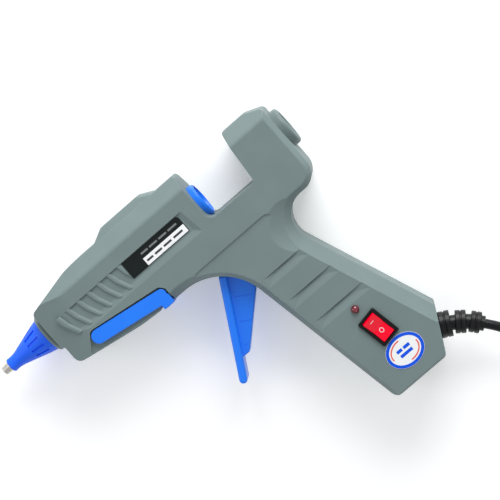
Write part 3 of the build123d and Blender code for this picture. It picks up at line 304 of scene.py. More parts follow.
def make_groups():
    """The effects that several materials share."""
    made = group_tree("moulded_grain", [("Scale", 3000.0), ("Patch Scale", 60.0)], ["Height", "Mottle"])
    if made:
        tree, start, end = made
        place = object_place(tree)
        fine = noise(tree, place, start.outputs["Scale"], 1.0)
        cells = add(tree, "ShaderNodeTexVoronoi", {"Vector": place, "Scale": start.outputs["Scale"]})
        pits = spread(tree, cells.outputs["Distance"], 0.1, 0.7, 0.0, 1.0)
        both = maths(tree, "ADD", maths(tree, "MULTIPLY", fine, 0.6), maths(tree, "MULTIPLY", pits, 0.4))
        tree.links.new(both, end.inputs[0])
        tree.links.new(noise(tree, place, start.outputs["Patch Scale"], 3.0), end.inputs[1])
    # Edge mask for lighter edges: partly wear, partly a painted highlight on the rounded edges.
    made = group_tree("edge_wear_and_highlight", [("Radius", 0.0007), ("Breakup", 900.0)], ["Mask"])
    if made:
        tree, start, end = made
        rounded = add(tree, "ShaderNodeBevel", {"Radius": start.outputs["Radius"]}, samples=6).outputs[0]
        true = add(tree, "ShaderNodeNewGeometry").outputs["Normal"]
        meet = add(tree, "ShaderNodeVectorMath", {0: rounded, 1: true}, operation="DOT_PRODUCT")
        edge = spread(tree, meet.outputs["Value"], 0.995, 0.86, 0.0, 1.0)
        broken = noise(tree, object_place(tree), start.outputs["Breakup"], 3.0)
        patchy = spread(tree, broken, 0.35, 0.62, 0.15, 1.0)
        tree.links.new(maths(tree, "MULTIPLY", edge, patchy), end.inputs[0])
    made = group_tree("handling", [("Scale", 45.0), ("Scratch Scale", 220.0)], ["Smudge", "Scratch"])
    if made:
        tree, start, end = made
        place = object_place(tree)
        smudge = noise(tree, place, start.outputs["Scale"], 4.0, 0.6)
        tree.links.new(spread(tree, smudge, 0.35, 0.7, 0.0, 1.0), end.inputs[0])
        drawn = object_place(tree, (1.0, 0.06, 1.0), (0.3, 0.2, 0.6))
        scratch = noise(tree, drawn, start.outputs["Scratch Scale"], 6.0, 0.7)
        tree.links.new(spread(tree, scratch, 0.66, 0.72, 0.0, 1.0), end.inputs[1])


def new_material(name, **constant):
    """A material with a Principled shader, whose constant values are set on its own sockets."""
    material = bpy.data.materials.new(name)
    material.use_nodes = True
    tree = material.node_tree
    shader = tree.nodes["Principled BSDF"]
    for key, value in constant.items():
        shader.inputs[key.replace("_", " ").title().replace("Ior", "IOR")].default_value = value
    return material, tree, shader


def bump(tree, shader, height, distance, strength=1.0):
    """Gives the shader that relief, in metres."""
    node = add(tree, "ShaderNodeBump", {"Height": height, "Distance": distance, "Strength": strength})
    drive(tree, shader, "Normal", node.outputs[0])


def tinted(value, factor):
    """A colour made lighter or darker."""
    return (*(min(1.0, c * factor) for c in value[:3]), 1.0)


def moulded(name, base, rough, worn_and_lit=None, wear_and_highlight=0.6, grain=1.0, **constant):
    """Moulded plastic: grain, slight mottling, smudges, fine scratches and lighter edges, which are partly
    wear and partly a painted highlight.
    """
    plastic = settings().plastic
    material, tree, shader = new_material(name, **constant)
    grained = placed(tree, "moulded_grain", Scale=0.9 / plastic.grain_size)
    handled = placed(tree, "handling")
    edges = placed(tree, "edge_wear_and_highlight", Radius=plastic.wear_and_highlight_radius)
    mottle = spread(tree, grained.outputs["Mottle"], 0.3, 0.7, 0.0, 1.0)
    body = blend_colours(tree, mottle, tinted(base, 0.96), tinted(base, 1.04))
    # Painted highlight along the edges, mixed with real wear: the edge mask blends in a lighter colour.
    amount = maths(tree, "MULTIPLY", edges.outputs[0], wear_and_highlight)
    drive(tree, shader, "Base Color", blend_colours(tree, amount, body, worn_and_lit or tinted(base, 1.5)))
    smudged = spread(tree, handled.outputs["Smudge"], 0.0, 1.0, rough + 0.05, rough - 0.05)
    scuffed = maths(tree, "MULTIPLY", handled.outputs["Scratch"], 0.06)
    drive(tree, shader, "Roughness", maths(tree, "ADD", smudged, scuffed, clamp=True))
    bump(tree, shader, grained.outputs["Height"], plastic.grain_depth * grain)
    return material


def metal(name, base, rough, drawn=(1.0, 1.0, 1.0), line=1500.0, depth=0.000012, tint=None):
    """Bare metal with lines from its making, and a tint that changes along it."""
    material, tree, shader = new_material(name, metallic=1.0)
    lines = noise(tree, object_place(tree, drawn), line, 4.0, 0.6)
    handled = placed(tree, "handling", Scale=160.0)
    across = spread(tree, lines, 0.3, 0.7, 0.0, 1.0)
    shade = blend_colours(tree, across, tinted(base, 0.85), tinted(base, 1.1))
    if tint:
        low, high, stained = tint
        along = add(tree, "ShaderNodeSeparateXYZ", {0: object_place(tree)}).outputs[0]
        shade = blend_colours(tree, spread(tree, along, low, high, 0.0, 0.8), shade, stained)
    drive(tree, shader, "Base Color", shade)
    smudged = spread(tree, handled.outputs["Smudge"], 0.0, 1.0, rough - 0.06, rough + 0.1)
    drive(tree, shader, "Roughness", smudged)
    bump(tree, shader, lines, depth)
    return material


def printed(name, base, rough=0.3, **constant):
    """A printed layer: flat ink with a faint screen and worn patches."""
    material, tree, shader = new_material(name, **constant)
    place = object_place(tree)
    screen = noise(tree, place, 5200.0, 1.0)
    patches = noise(tree, place, 320.0, 3.0)
    shade = spread(tree, maths(tree, "ADD", screen, patches), 0.7, 1.3, 0.0, 1.0)
    drive(tree, shader, "Base Color", blend_colours(tree, shade, tinted(base, 0.94), tinted(base, 1.03)))
    drive(tree, shader, "Roughness", spread(tree, patches, 0.3, 0.7, rough - 0.05, rough + 0.08))
    bump(tree, shader, screen, 0.000004)
    return material


def woven(name, base):
    """A flat strap woven over and under."""
    material, tree, shader = new_material(name, sheen_weight=0.3)
    place = object_place(tree, turn=(0.0, 0.0, radians(-35)))
    weave = {"Vector": place, "Scale": 300.0}
    across = add(tree, "ShaderNodeTexWave", weave, bands_direction="Y")
    slanting = add(tree, "ShaderNodeTexWave", weave, bands_direction="DIAGONAL")
    over = maths(tree, "MAXIMUM", across.outputs["Fac"], slanting.outputs["Fac"])
    fibre = noise(tree, place, 4200.0, 2.0)
    height = maths(tree, "ADD", over, maths(tree, "MULTIPLY", fibre, 0.4))
    drive(tree, shader, "Base Color", blend_colours(tree, over, tinted(base, 0.6), tinted(base, 1.4)))
    drive(tree, shader, "Roughness", spread(tree, fibre, 0.0, 1.0, 0.75, 0.95))
    bump(tree, shader, height, 0.00015)
    return material


# ---- building pieces ----


def settings():
    """What is set for this scene."""
    return bpy.context.scene.glue_gun


def link(name, data):
    """A new object at the origin, in the scene."""
    piece = bpy.data.objects.new(name, data)
    bpy.context.scene.collection.objects.link(piece)
    return piece


def mesh_from(name, verts, faces, smooth=True):
    """A mesh with its doubles merged and its faces outwards."""
    mesh = bpy.data.meshes.new(name)
    mesh.from_pydata([tuple(v) for v in verts], [], faces)
    made = bmesh.new()
    made.from_mesh(mesh)
    bmesh.ops.remove_doubles(made, verts=made.verts, dist=1e-7)
    bmesh.ops.recalc_face_normals(made, faces=made.faces)
    made.to_mesh(mesh)
    made.free()
    if smooth:
        mesh.shade_smooth()
    return mesh


def lathe(profile, around=24):
    """Points and faces of a closed profile of (along x, radius) turned about x."""
    verts, faces = [], []
    for k in range(around):
        a = tau * k / around
        verts += [Vector((x, r * cos(a), r * sin(a))) for x, r in profile]
    n = len(profile)
    for k in range(around):
        for i in range(n - 1):
            a, b = k * n + i, (k + 1) % around * n + i
            faces.append((a, b, b + 1, a + 1))
    return verts, faces


def finish_node(name, *materials):
    """Gives a node of the frame its material."""
    mesh = frame["nodes"][name].data
    mesh.materials.clear()
    for material in materials:
        mesh.materials.append(material)


def own(piece, material, body="housing", stands_for=()):
    """Gives a finished piece its material, the body it rides on and the nodes it stands for."""
    piece.data.materials.clear()
    piece.data.materials.append(material)
    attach(piece, body)
    if stands_for:
        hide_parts(*stands_for)
    return piece


def surface_of(node):
    """What rays are cast at to lay something on a node."""
    mesh = frame["nodes"][node].data
    places = [v.co.copy() for v in mesh.vertices]
    return BVHTree.FromPolygons(places, [tuple(p.vertices) for p in mesh.polygons])


def laid(name, outlines, surface, height, place=Matrix.Identity(4)):
    """Thin closed layers on a surface seen from above. Each outline is a ring of points outside
    and one inside, or of two sides of a strip; place puts their plane over the surface."""
    verts, faces = [], []
    up = place.to_3x3() @ Vector((0, 0, 1))
    for outer, inner, closed in outlines:
        start, n = len(verts), len(outer)
        for x, y in [*outer, *inner]:
            above = place @ Vector((x, y, 0.02))
            hit = surface.ray_cast(above, -up)[0]
            if hit is None:
                raise RuntimeError(f"{name} lies off its surface at {x:.4f}, {y:.4f}")
            verts += [hit + up * 0.00001, hit + up * height]
        for i in range(n if closed else n - 1):
            j = (i + 1) % n
            a, b, c, d = (start + 2 * k for k in (i, j, n + j, n + i))
            faces += [(a + 1, b + 1, c + 1, d + 1), (d, c, b, a), (a, b, b + 1, a + 1), (c, d, d + 1, c + 1)]
        if not closed:
            for i in (0, n - 1):
                a, d = start + 2 * i, start + 2 * (n + i)
                faces.append((a, a + 1, d + 1, d))
    return link(name, mesh_from(name, verts, faces, smooth=False))


def oval(a, b, start=0.0, end=tau, points=72):
    """Points on an oval from one angle to another."""
    closed = abs(end - start - tau) < 1e-6
    return [
        (a * cos(start + (end - start) * k / (points if closed else points - 1)),
         b * sin(start + (end - start) * k / (points if closed else points - 1)))
        for k in range(points)
    ]


def strip(points, width):
    """Both sides of a line with square corners, for laid()."""
    left, right = [], []
    for i, p in enumerate(points):
        a, b = Vector(points[max(i - 1, 0)]), Vector(points[min(i + 1, len(points) - 1)])
        along = (b - a).normalized()
        across = Vector((-along.y, along.x))
        if 0 < i < len(points) - 1:
            first = (Vector(p) - a).normalized()
            across = across / max(0.4, across.dot(Vector((-first.y, first.x))))
        left.append(tuple(Vector(p) + across * width / 2))
        right.append(tuple(Vector(p) - across * width / 2))
    return left, right, False


def geometry_tree(name, inputs):
    """A Geometry Nodes tree with named inputs; gives it, its ends and each input's identifier."""
    tree = bpy.data.node_groups.new(name, "GeometryNodeTree")
    tree.interface.new_socket("Geometry", in_out="INPUT", socket_type="NodeSocketGeometry")
    tree.interface.new_socket("Geometry", in_out="OUTPUT", socket_type="NodeSocketGeometry")
    ids = {}
    for label, kind in inputs:
        socket = tree.interface.new_socket(label, in_out="INPUT", socket_type=f"NodeSocket{kind}")
        ids[label] = socket.identifier
    return tree, tree.nodes.new("NodeGroupInput"), tree.nodes.new("NodeGroupOutput"), ids


def finish_tree(tree, geometry, start, end):
    """Ends the tree in Realize Instances and Set Material."""
    real = add(tree, "GeometryNodeRealizeInstances", {0: geometry}).outputs[0]
    painted = add(tree, "GeometryNodeSetMaterial", {0: real, "Material": start.outputs["Material"]})
    tree.links.new(painted.outputs[0], end.inputs[0])


def grown(name, base, tree, ids, values):
    """The plain mesh that a tree makes of a base mesh, as a new object."""
    piece = link(name, base)
    modifier = piece.modifiers.new("grow", "NODES")
    modifier.node_group = tree
    for label, value in values.items():
        modifier[ids[label]] = value
    bpy.context.view_layer.update()
    graph = bpy.context.evaluated_depsgraph_get()
    mesh = bpy.data.meshes.new_from_object(piece.evaluated_get(graph))
    piece.modifiers.remove(modifier)
    piece.data = mesh
    mesh.name = name
    return piece


def scattered(name, piece_mesh, material, places):
    """Copies of one mesh at places of (point, turn as angles, scale), made by a tree into one mesh."""
    base = bpy.data.meshes.new(name + "_places")
    base.from_pydata([p[0] for p in places], [], [])
    turns = base.attributes.new("turn", "FLOAT_VECTOR", "POINT")
    sizes = base.attributes.new("size", "FLOAT_VECTOR", "POINT")
    for i, (_, turn, size) in enumerate(places):
        turns.data[i].vector = turn
        sizes.data[i].vector = size
    pattern = link(name + "_pattern", piece_mesh)
    tree, start, end, ids = geometry_tree(name + "_tree", [("Pattern", "Object"), ("Material", "Material")])
    shape = add(tree, "GeometryNodeObjectInfo", {"Object": start.outputs["Pattern"]}).outputs["Geometry"]
    dots = add(tree, "GeometryNodeMeshToPoints", {0: start.outputs["Geometry"]}).outputs[0]
    turn = add(tree, "GeometryNodeInputNamedAttribute", {"Name": "turn"}, data_type="FLOAT_VECTOR").outputs[0]
    size = add(tree, "GeometryNodeInputNamedAttribute", {"Name": "size"}, data_type="FLOAT_VECTOR").outputs[0]
    put = add(
        tree, "GeometryNodeInstanceOnPoints",
        {"Points": dots, "Instance": shape, "Rotation": turn, "Scale": size},
    )
    finish_tree(tree, put.outputs[0], start, end)
    piece = grown(name, base, tree, ids, {"Pattern": pattern, "Material": material})
    bpy.data.objects.remove(pattern)
    for label in ("turn", "size"):
        if label in piece.data.attributes:
            piece.data.attributes.remove(piece.data.attributes[label])
    return piece


# ---- operators, one for each piece or group ----


def aim(thing, place, target, up):
    """Puts a camera or light there, looking at the target."""
    back = (place - target).normalized()
    right = up.cross(back).normalized()
    turn = Matrix((right, back.cross(right), back)).transposed().to_4x4()
    thing.matrix_world = Matrix.Translation(place) @ turn


class GLUEGUN_OT_stage(bpy.types.Operator):
    """Make the floor, the lights and the camera"""

    bl_idname = "glue_gun.stage"
    bl_label = "Stage"

    def execute(self, context):
        values = settings().stage
        material, tree, shader = new_material("floor_paper", roughness=0.9, emission_strength=0.25)
        shader.inputs["Emission Color"].default_value = (1.0, 1.0, 1.0, 1.0)
        fibres = noise(tree, object_place(tree), 900.0, 3.0)
        tone = blend_colours(tree, fibres, tinted(values.floor, 0.99), tinted(values.floor, 1.01))
        drive(tree, shader, "Base Color", tone)
        bump(tree, shader, fibres, 0.00002)
        corners = [(-4, -4, 0), (4, -4, 0), (4, 4, 0), (-4, 4, 0)]
        floor = link("floor", mesh_from("floor", corners, [(0, 1, 2, 3)]))
        floor.data.materials.append(material)

        world = bpy.data.worlds.new("studio")
        world.use_nodes = True
        sky = world.node_tree.nodes["Background"]
        sky.inputs["Color"].default_value = (0.97, 0.985, 1.0, 1.0)
        sky.inputs["Strength"].default_value = values.fill
        context.scene.world = world

        target, top = Vector(TARGET), Vector(VIEW_UP)
        for name, place, width, power in (
            ("key_light", target + Vector((0.645, 0.736, 0.52)), 0.8, values.key),
            ("side_light", target + Vector((-0.75, 0.55, 0.55)), 0.5, values.key * 0.14),
            ("low_light", target + Vector((0.1, -0.8, 0.7)), 0.5, values.key * 0.06),
        ):
            lamp = bpy.data.lights.new(name, "AREA")
            lamp.size, lamp.energy = width, power
            aim(link(name, lamp), place, target, top)

        lens = bpy.data.cameras.new("camera")
        lens.lens = lens.sensor_width * values.distance / values.view_width
        camera = link("camera", lens)
        aim(camera, target + Vector(VIEW_FROM).normalized() * values.distance, target, top)
        context.scene.camera = camera
        context.scene.view_settings.view_transform = "Standard"
        return {"FINISHED"}


class GLUEGUN_OT_cord(bpy.types.Operator):
    """Make the mains cord: down from its relief, wound into a coil, and up to its plug"""

    bl_idname = "glue_gun.cord"
    bl_label = "Cord"

    def execute(self, context):
        values = settings().cord
        leaves, centre = Vector(CORD_LEAVES), Vector(COIL_CENTRE)
        pitch = values.diameter / MM
        lowest = COIL_FLOOR + pitch / 2 + 0.05
        first, last = radians(COIL_START), radians(COIL_END) + tau * (values.turns - 1)
        step = tau / values.points
        outset = 2 / (1 + cos(step / 2))
        coil = []
        for k in range(int((last - first) / step) + 1):
            angle = first + step * k
            since = angle - radians(COIL_CHANGE)
            turn = int(since / tau)
            moved = min(1.0, (since - turn * tau) / radians(COIL_CHANGE_OVER))
            here, before = (COIL_PLACES[n % len(COIL_PLACES)] for n in (turn, max(turn - 1, 0)))
            moved = moved * moved * (3 - 2 * moved)
            out = before[0] + (here[0] - before[0]) * moved
            high = before[1] + (here[1] - before[1]) * moved
            wander = values.slack / MM * sin(angle * 1.7 + turn * 2.1)
            radius = (values.coil_radius / MM + out * pitch + wander) * outset
            height = lowest + high * pitch + abs(wander) * 0.3
            coil.append(centre + Vector((radius * cos(angle), radius * sin(angle), height)))
        run = Vector(CORD_HEADING) * FIRST_RUN
        route = [leaves, leaves + run, *map(Vector, ROUTE_DOWN), *coil, *map(Vector, ROUTE_UP)]

        curve = bpy.data.curves.new("power_cord_line", "CURVE")
        curve.dimensions = "3D"
        spline = curve.splines.new("NURBS")
        spline.points.add(len(route) - 1)
        for point, place in zip(spline.points, route):
            point.co = (*(place * MM), 1.0)
        spline.order_u = 3
        spline.use_endpoint_u = True
        spline.resolution_u = 6
        curve.bevel_depth = values.diameter / 2
        curve.bevel_resolution = 4
        curve.use_fill_caps = True
        cord = link("mains_cord", curve)
        sheath = moulded("cord_sheath", values.sheath, 0.36, wear_and_highlight=0.0, grain=0.4, specular_ior_level=0.3)
        own(cord, sheath, stands_for=("power_cord", "cord_coil"))
        finish_node("coil_tie", woven("tie_weave", (0.02, 0.02, 0.022)))
        return {"FINISHED"}


class GLUEGUN_OT_housing(bpy.types.Operator):
    """Finish the two grey shells, the front collar and the rear guide"""

    bl_idname = "glue_gun.housing"
    bl_label = "Housing"

    def execute(self, context):
        values = settings().plastic
        # The shells get the strongest edge lightening: painted highlight mixed with wear.
        shell = moulded("housing_grey", values.housing, 0.56, worn_and_lit=values.worn_and_lit, wear_and_highlight=0.75)
        for name in ("left_shell", "right_shell"):
            finish_node(name, shell)
        trim = moulded("trim_grey", tinted(values.housing, 0.9), 0.48, worn_and_lit=values.worn_and_lit, grain=0.6)
        for name in ("front_collar", "rear_guide"):
            finish_node(name, trim)
        return {"FINISHED"}


class GLUEGUN_OT_blue_parts(bpy.types.Operator):
    """Finish the trigger, the stand, the feed and the silicone nozzle cover"""

    bl_idname = "glue_gun.blue_parts"
    bl_label = "Blue parts"

    def execute(self, context):
        values = settings().plastic
        blue = moulded("blue_gloss", values.blue, 0.34, wear_and_highlight=0.35, grain=0.35, coat_weight=0.12)
        for name in ("trigger", "stand", "carriage", "grip_jaw"):
            finish_node(name, blue)
        finish_node("nozzle_cover", moulded("blue_silicone", values.cover, 0.5, wear_and_highlight=0.25, grain=0.5))
        return {"FINISHED"}


class GLUEGUN_OT_nozzle(bpy.types.Operator):
    """Finish the turned nozzle, stained by heat towards its tip"""

    bl_idname = "glue_gun.nozzle"
    bl_label = "Nozzle"

    def execute(self, context):
        low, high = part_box("nozzle_tip")
        stain = (low.x + (high.x - low.x) * 0.5, high.x, (0.42, 0.33, 0.24, 1.0))
        turned = metal("turned_metal", (0.72, 0.69, 0.64), 0.3, (1.0, 0.05, 0.05), 3800.0, tint=stain)
        finish_node("nozzle_tip", turned)
        return {"FINISHED"}


class GLUEGUN_OT_screws(bpy.types.Operator):
    """Make the eight self-tapping screws in the right shell"""

    bl_idname = "glue_gun.screws"
    bl_label = "Screws"

    def execute(self, context):
        values = settings().screws
        low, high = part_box("housing_screws")
        long = high.z - low.z
        core, pitch = values.core, values.pitch
        head, under, crest = SCREW_HEAD * MM, SCREW_HEAD_HEIGHT * MM, SCREW_THREAD * MM
        profile = [(0, 0), (0, 1.7 * MM), (0.3 * MM, 2.2 * MM), (0.7 * MM, head), (under, head), (under, core)]
        x = under + 0.5 * MM
        while x + pitch < long - SCREW_POINT * MM - 0.1 * MM:
            profile += [(x, core), (x + 0.4 * pitch, crest), (x + 0.5 * pitch, crest), (x + 0.9 * pitch, core)]
            x += pitch
        profile += [(long - SCREW_POINT * MM, core), (long, 0)]
        verts, faces = lathe(profile, 18)
        upright = Matrix.Rotation(radians(-90), 4, "Y")
        pattern = link("screw", mesh_from("screw", [upright @ v for v in verts], faces, smooth=False))
        arm, wide = 1.3 * MM, values.recess / 2
        ring = [
            (arm, -wide), (arm, wide), (wide, wide), (wide, arm), (-wide, arm), (-wide, wide),
            (-arm, wide), (-arm, -wide), (-wide, -wide), (-wide, -arm), (wide, -arm), (wide, -wide),
        ]
        cross = [(x, y, z) for z in (-1 * MM, 1.4 * MM) for x, y in ring]
        sides = [(i, (i + 1) % 12, 12 + (i + 1) % 12, 12 + i) for i in range(12)]
        caps = [tuple(range(11, -1, -1)), tuple(range(12, 24))]
        cutter = link("recess", mesh_from("recess", cross, [*sides, *caps], smooth=False))
        cut = pattern.modifiers.new("cut", "BOOLEAN")
        cut.object, cut.solver = cutter, "EXACT"
        context.view_layer.update()
        mesh = bpy.data.meshes.new_from_object(pattern.evaluated_get(context.evaluated_depsgraph_get()))
        for spare in (pattern, cutter):
            bpy.data.objects.remove(spare)
        steel = metal("zinc_plate", (0.66, 0.66, 0.64), 0.34, (1.0, 1.0, 0.1), 2600.0)
        places = [
            ((x * MM, y * MM, low.z), (0, 0, 0.7 * i), (1, 1, 1)) for i, (x, y) in enumerate(SCREW_CENTRES)
        ]
        screws = scattered("shell_screws", mesh, steel, places)
        own(screws, steel, stands_for=("housing_screws",))
        return {"FINISHED"}


class GLUEGUN_OT_spring(bpy.types.Operator):
    """Wind the return spring, hooked to the carriage and to its post"""

    bl_idname = "glue_gun.spring"
    bl_label = "Return spring"

    def execute(self, context):
        values = settings().spring
        low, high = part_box("return_spring")
        axis = (low + high) / 2
        tree, start, end, ids = geometry_tree(
            "spring_tree",
            [("Turns", "Float"), ("Radius", "Float"), ("Wire", "Float"), ("Length", "Float"),
             ("Place", "Vector"), ("Bend", "Float"), ("Material", "Material")],
        )
        given = start.outputs
        spiral = add(
            tree, "GeometryNodeCurveSpiral",
            {"Resolution": 14, "Rotations": given["Turns"], "Start Radius": given["Radius"],
             "End Radius": given["Radius"], "Height": given["Length"]},
        )
        lying = add(
            tree, "GeometryNodeTransform",
            {"Geometry": spiral.outputs[0], "Translation": given["Place"],
             "Rotation": (0.0, radians(90), 0.0)},
        )
        hooks = add(tree, "GeometryNodeMeshToCurve", {0: given["Geometry"]}).outputs[0]
        bend = {"Curve": hooks, "Radius": given["Bend"], "Limit Radius": True}
        bent = add(tree, "GeometryNodeFilletCurve", bend)
        if "Mode" in bent.inputs:
            bent.inputs["Mode"].default_value = "Poly"
        else:
            bent.mode = "POLY"
        bent.inputs["Count"].default_value = 6
        both = add(tree, "GeometryNodeJoinGeometry")
        tree.links.new(lying.outputs[0], both.inputs[0])
        tree.links.new(bent.outputs[0], both.inputs[0])
        thin = add(tree, "ShaderNodeMath", {0: given["Wire"], 1: 0.5}, operation="MULTIPLY").outputs[0]
        round_wire = add(tree, "GeometryNodeCurvePrimitiveCircle", {"Resolution": 7, "Radius": thin})
        solid = add(
            tree, "GeometryNodeCurveToMesh",
            {"Curve": both.outputs[0], "Profile Curve": round_wire.outputs[0], "Fill Caps": True},
        )
        finish_tree(tree, solid.outputs[0], start, end)

        r, x0, x1, y, z = values.radius, low.x, high.x, axis.y, axis.z
        eye, post, wide = x0 - SPRING_EYE * MM, x1 + SPRING_POST * MM, SPRING_LOOP * MM
        front = [(x0, y, z - r), (eye, y, z - r), (eye, y, z + 2.2 * MM), (x0 + 0.3 * MM, y, z + 2.2 * MM)]
        round_post = (radians(180 - 30 * k) for k in range(11))
        loop = [(post + wide * cos(a), y + wide * sin(a), z) for a in round_post]
        rear = [(x1, y, z - r), (x1, y, z - 0.6 * MM), *loop]
        base = bpy.data.meshes.new("hooks")
        edges = [(i, i + 1) for i in range(3)] + [(4 + i, 5 + i) for i in range(len(rear) - 1)]
        base.from_pydata([*front, *rear], edges, [])
        wire = metal("spring_wire", (0.6, 0.6, 0.6), 0.28, line=5000.0)
        spring = grown(
            "wound_spring", base, tree, ids,
            {"Turns": values.turns, "Radius": r, "Wire": values.wire, "Length": x1 - x0,
             "Place": (x0, y, z), "Bend": 0.5 * MM, "Material": wire},
        )
        spring.data.shade_smooth()
        spring.data.materials.clear()
        spring.data.materials.append(wire)
        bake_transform(spring)
        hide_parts("return_spring")
        return {"FINISHED"}


class GLUEGUN_OT_switch(bpy.types.Operator):
    """Finish the rocker switch and the lamp, and print the rocker's two marks"""

    bl_idname = "glue_gun.switch"
    bl_label = "Switch and lamp"

    def execute(self, context):
        values = settings().switch
        plastic = settings().plastic
        black = moulded("switch_black", plastic.black, 0.3, wear_and_highlight=0.2, grain=0.2, specular_ior_level=0.3)
        finish_node("switch_housing", black)
        finish_node("switch_terminals", metal("terminal_brass", (0.8, 0.58, 0.28), 0.3, line=2200.0))
        red = values.rocker
        red = moulded("rocker_red", red, 0.24, worn_and_lit=red, grain=0.1, specular_ior_level=0.25)
        finish_node("rocker_switch", red)
        lens, tree, shader = new_material("lamp_lens", coat_weight=1.0, transmission_weight=0.25)
        low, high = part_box("led_lens")
        middle = (low + high) / 2
        place = object_place(tree)
        centred = add(tree, "ShaderNodeVectorMath", {0: place, 1: tuple(middle)}, operation="SUBTRACT")
        level = {0: centred.outputs[0], 1: (1.0, 1.0, 0.0)}
        flat = add(tree, "ShaderNodeVectorMath", level, operation="MULTIPLY")
        out = add(tree, "ShaderNodeVectorMath", {0: flat.outputs[0]}, operation="LENGTH")
        glow = spread(tree, out.outputs["Value"], 0.0, 0.0012, 1.0, 0.0)
        tone = blend_colours(tree, glow, tinted(values.lamp, 0.7), tinted(values.lamp, 1.9))
        drive(tree, shader, "Base Color", tone)
        facets = noise(tree, place, 1800.0, 1.0)
        drive(tree, shader, "Roughness", spread(tree, facets, 0.0, 1.0, 0.08, 0.16))
        bump(tree, shader, facets, 0.00002)
        finish_node("led_lens", lens)

        board, tree, shader = new_material("board_green", coat_weight=0.4)
        place = object_place(tree)
        tracks = add(tree, "ShaderNodeTexBrick", {"Vector": place, "Scale": 700.0}).outputs["Fac"]
        green = blend_colours(tree, tracks, (0.02, 0.12, 0.04, 1.0), (0.05, 0.22, 0.09, 1.0))
        drive(tree, shader, "Base Color", green)
        drive(tree, shader, "Roughness", spread(tree, noise(tree, place, 2500.0), 0.0, 1.0, 0.3, 0.5))
        bump(tree, shader, tracks, 0.00002)
        finish_node("led_board", board)

        joint = next(j for j in frame["joints"] if j["child"] == "rocker")
        width = Vector(joint["axis"]).normalized()
        along = Vector((-width.y, width.x, 0.0))
        place = Matrix.Translation(Vector(joint["pos_m"])) @ Matrix(
            ((width.x, along.x, 0, 0), (width.y, along.y, 0, 0), (0, 0, 1, 0), (0, 0, 0, 1))
        )
        half = values.bar_length / 2
        bar = strip([(-half + values.bar_length * k / 6, 3.9 * MM) for k in range(7)], values.line)
        outer = [(x, y - 1.9 * MM) for x, y in oval(values.ring_radius, values.ring_radius * 1.15, points=40)]
        inner = values.ring_radius - values.line
        inner = [(x, y - 1.9 * MM) for x, y in oval(inner, inner * 1.2, points=40)]
        surface = surface_of("rocker_switch")
        marks = laid("rocker_marks", [bar, (outer, inner, True)], surface, 0.00004, place)
        own(marks, printed("mark_paint", values.mark, 0.35), body="rocker")
        return {"FINISHED"}


class GLUEGUN_OT_labels(bpy.types.Operator):
    """Finish the rating plate with plain bars, and print the oval sticker"""

    bl_idname = "glue_gun.labels"
    bl_label = "Labels"

    def execute(self, context):
        values = settings().label
        finish_node("rating_plate", printed("plate_black", values.plate, 0.4, specular_ior_level=0.2))
        white = printed("plate_white", values.white, 0.3, coat_weight=0.3)
        finish_node("rating_strip", white)
        bar = mesh_from(
            "bar",
            [(x, y, z) for z in (0.2, 1) for x, y in ((-0.5, -0.5), (0.5, -0.5), (0.5, 0.5), (-0.5, 0.5))],
            [(3, 2, 1, 0), (4, 5, 6, 7), (0, 1, 5, 4), (1, 2, 6, 5), (2, 3, 7, 6), (3, 0, 4, 7)],
            smooth=False,
        )
        for name, node, (y, spans, tall), ink in (
            ("plate_bars", "rating_plate", PLATE_BARS, printed("pale_ink", (0.2, 0.21, 0.21), 0.4)),
            ("strip_bars", "rating_strip", STRIP_BARS, printed("bar_ink", (0.03, 0.035, 0.04), 0.4)),
        ):
            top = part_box(node)[1].z
            places = [
                (((a + b) / 2 * MM, y * MM, top), (0, 0, 0), ((b - a) * MM, tall * MM, values.print_height))
                for a, b in spans
            ]
            own(scattered(name, bar.copy(), ink, places), ink)

        finish_node("inspection_sticker", printed("sticker_paper", values.white, 0.34, coat_weight=0.1))
        low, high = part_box("inspection_sticker")
        a, b = (high.x - low.x) / 2 - 0.00012, (high.y - low.y) / 2 - 0.00012
        place = Matrix.Translation(Vector(((low.x + high.x) / 2, (low.y + high.y) / 2, high.z)))
        surface = surface_of("inspection_sticker")
        wide = values.rim_width
        rim = (oval(a, b, points=96), oval(a - wide, b - wide, points=96), True)
        bars = [
            strip([((x0 + (x1 - x0) * k / 4) * MM, y * MM) for k in range(5)], values.bar_width)
            for x0, x1, y in STICKER_BARS
        ]
        ink = printed("sticker_blue", values.rim, 0.34, specular_ior_level=0.3)
        own(laid("sticker_rim", [rim, *bars], surface, values.print_height, place), ink)
        a, b, reach = a - wide - 0.001, b - wide - 0.001, 50
        arcs = [
            strip(oval(a, b, radians(middle - reach), radians(middle + reach), 40), values.arc_width)
            for middle in STICKER_ARCS
        ]
        ink = printed("sticker_red", values.arcs, 0.34, specular_ior_level=0.3)
        own(laid("sticker_arcs", arcs, surface, values.print_height, place), ink)
        return {"FINISHED"}


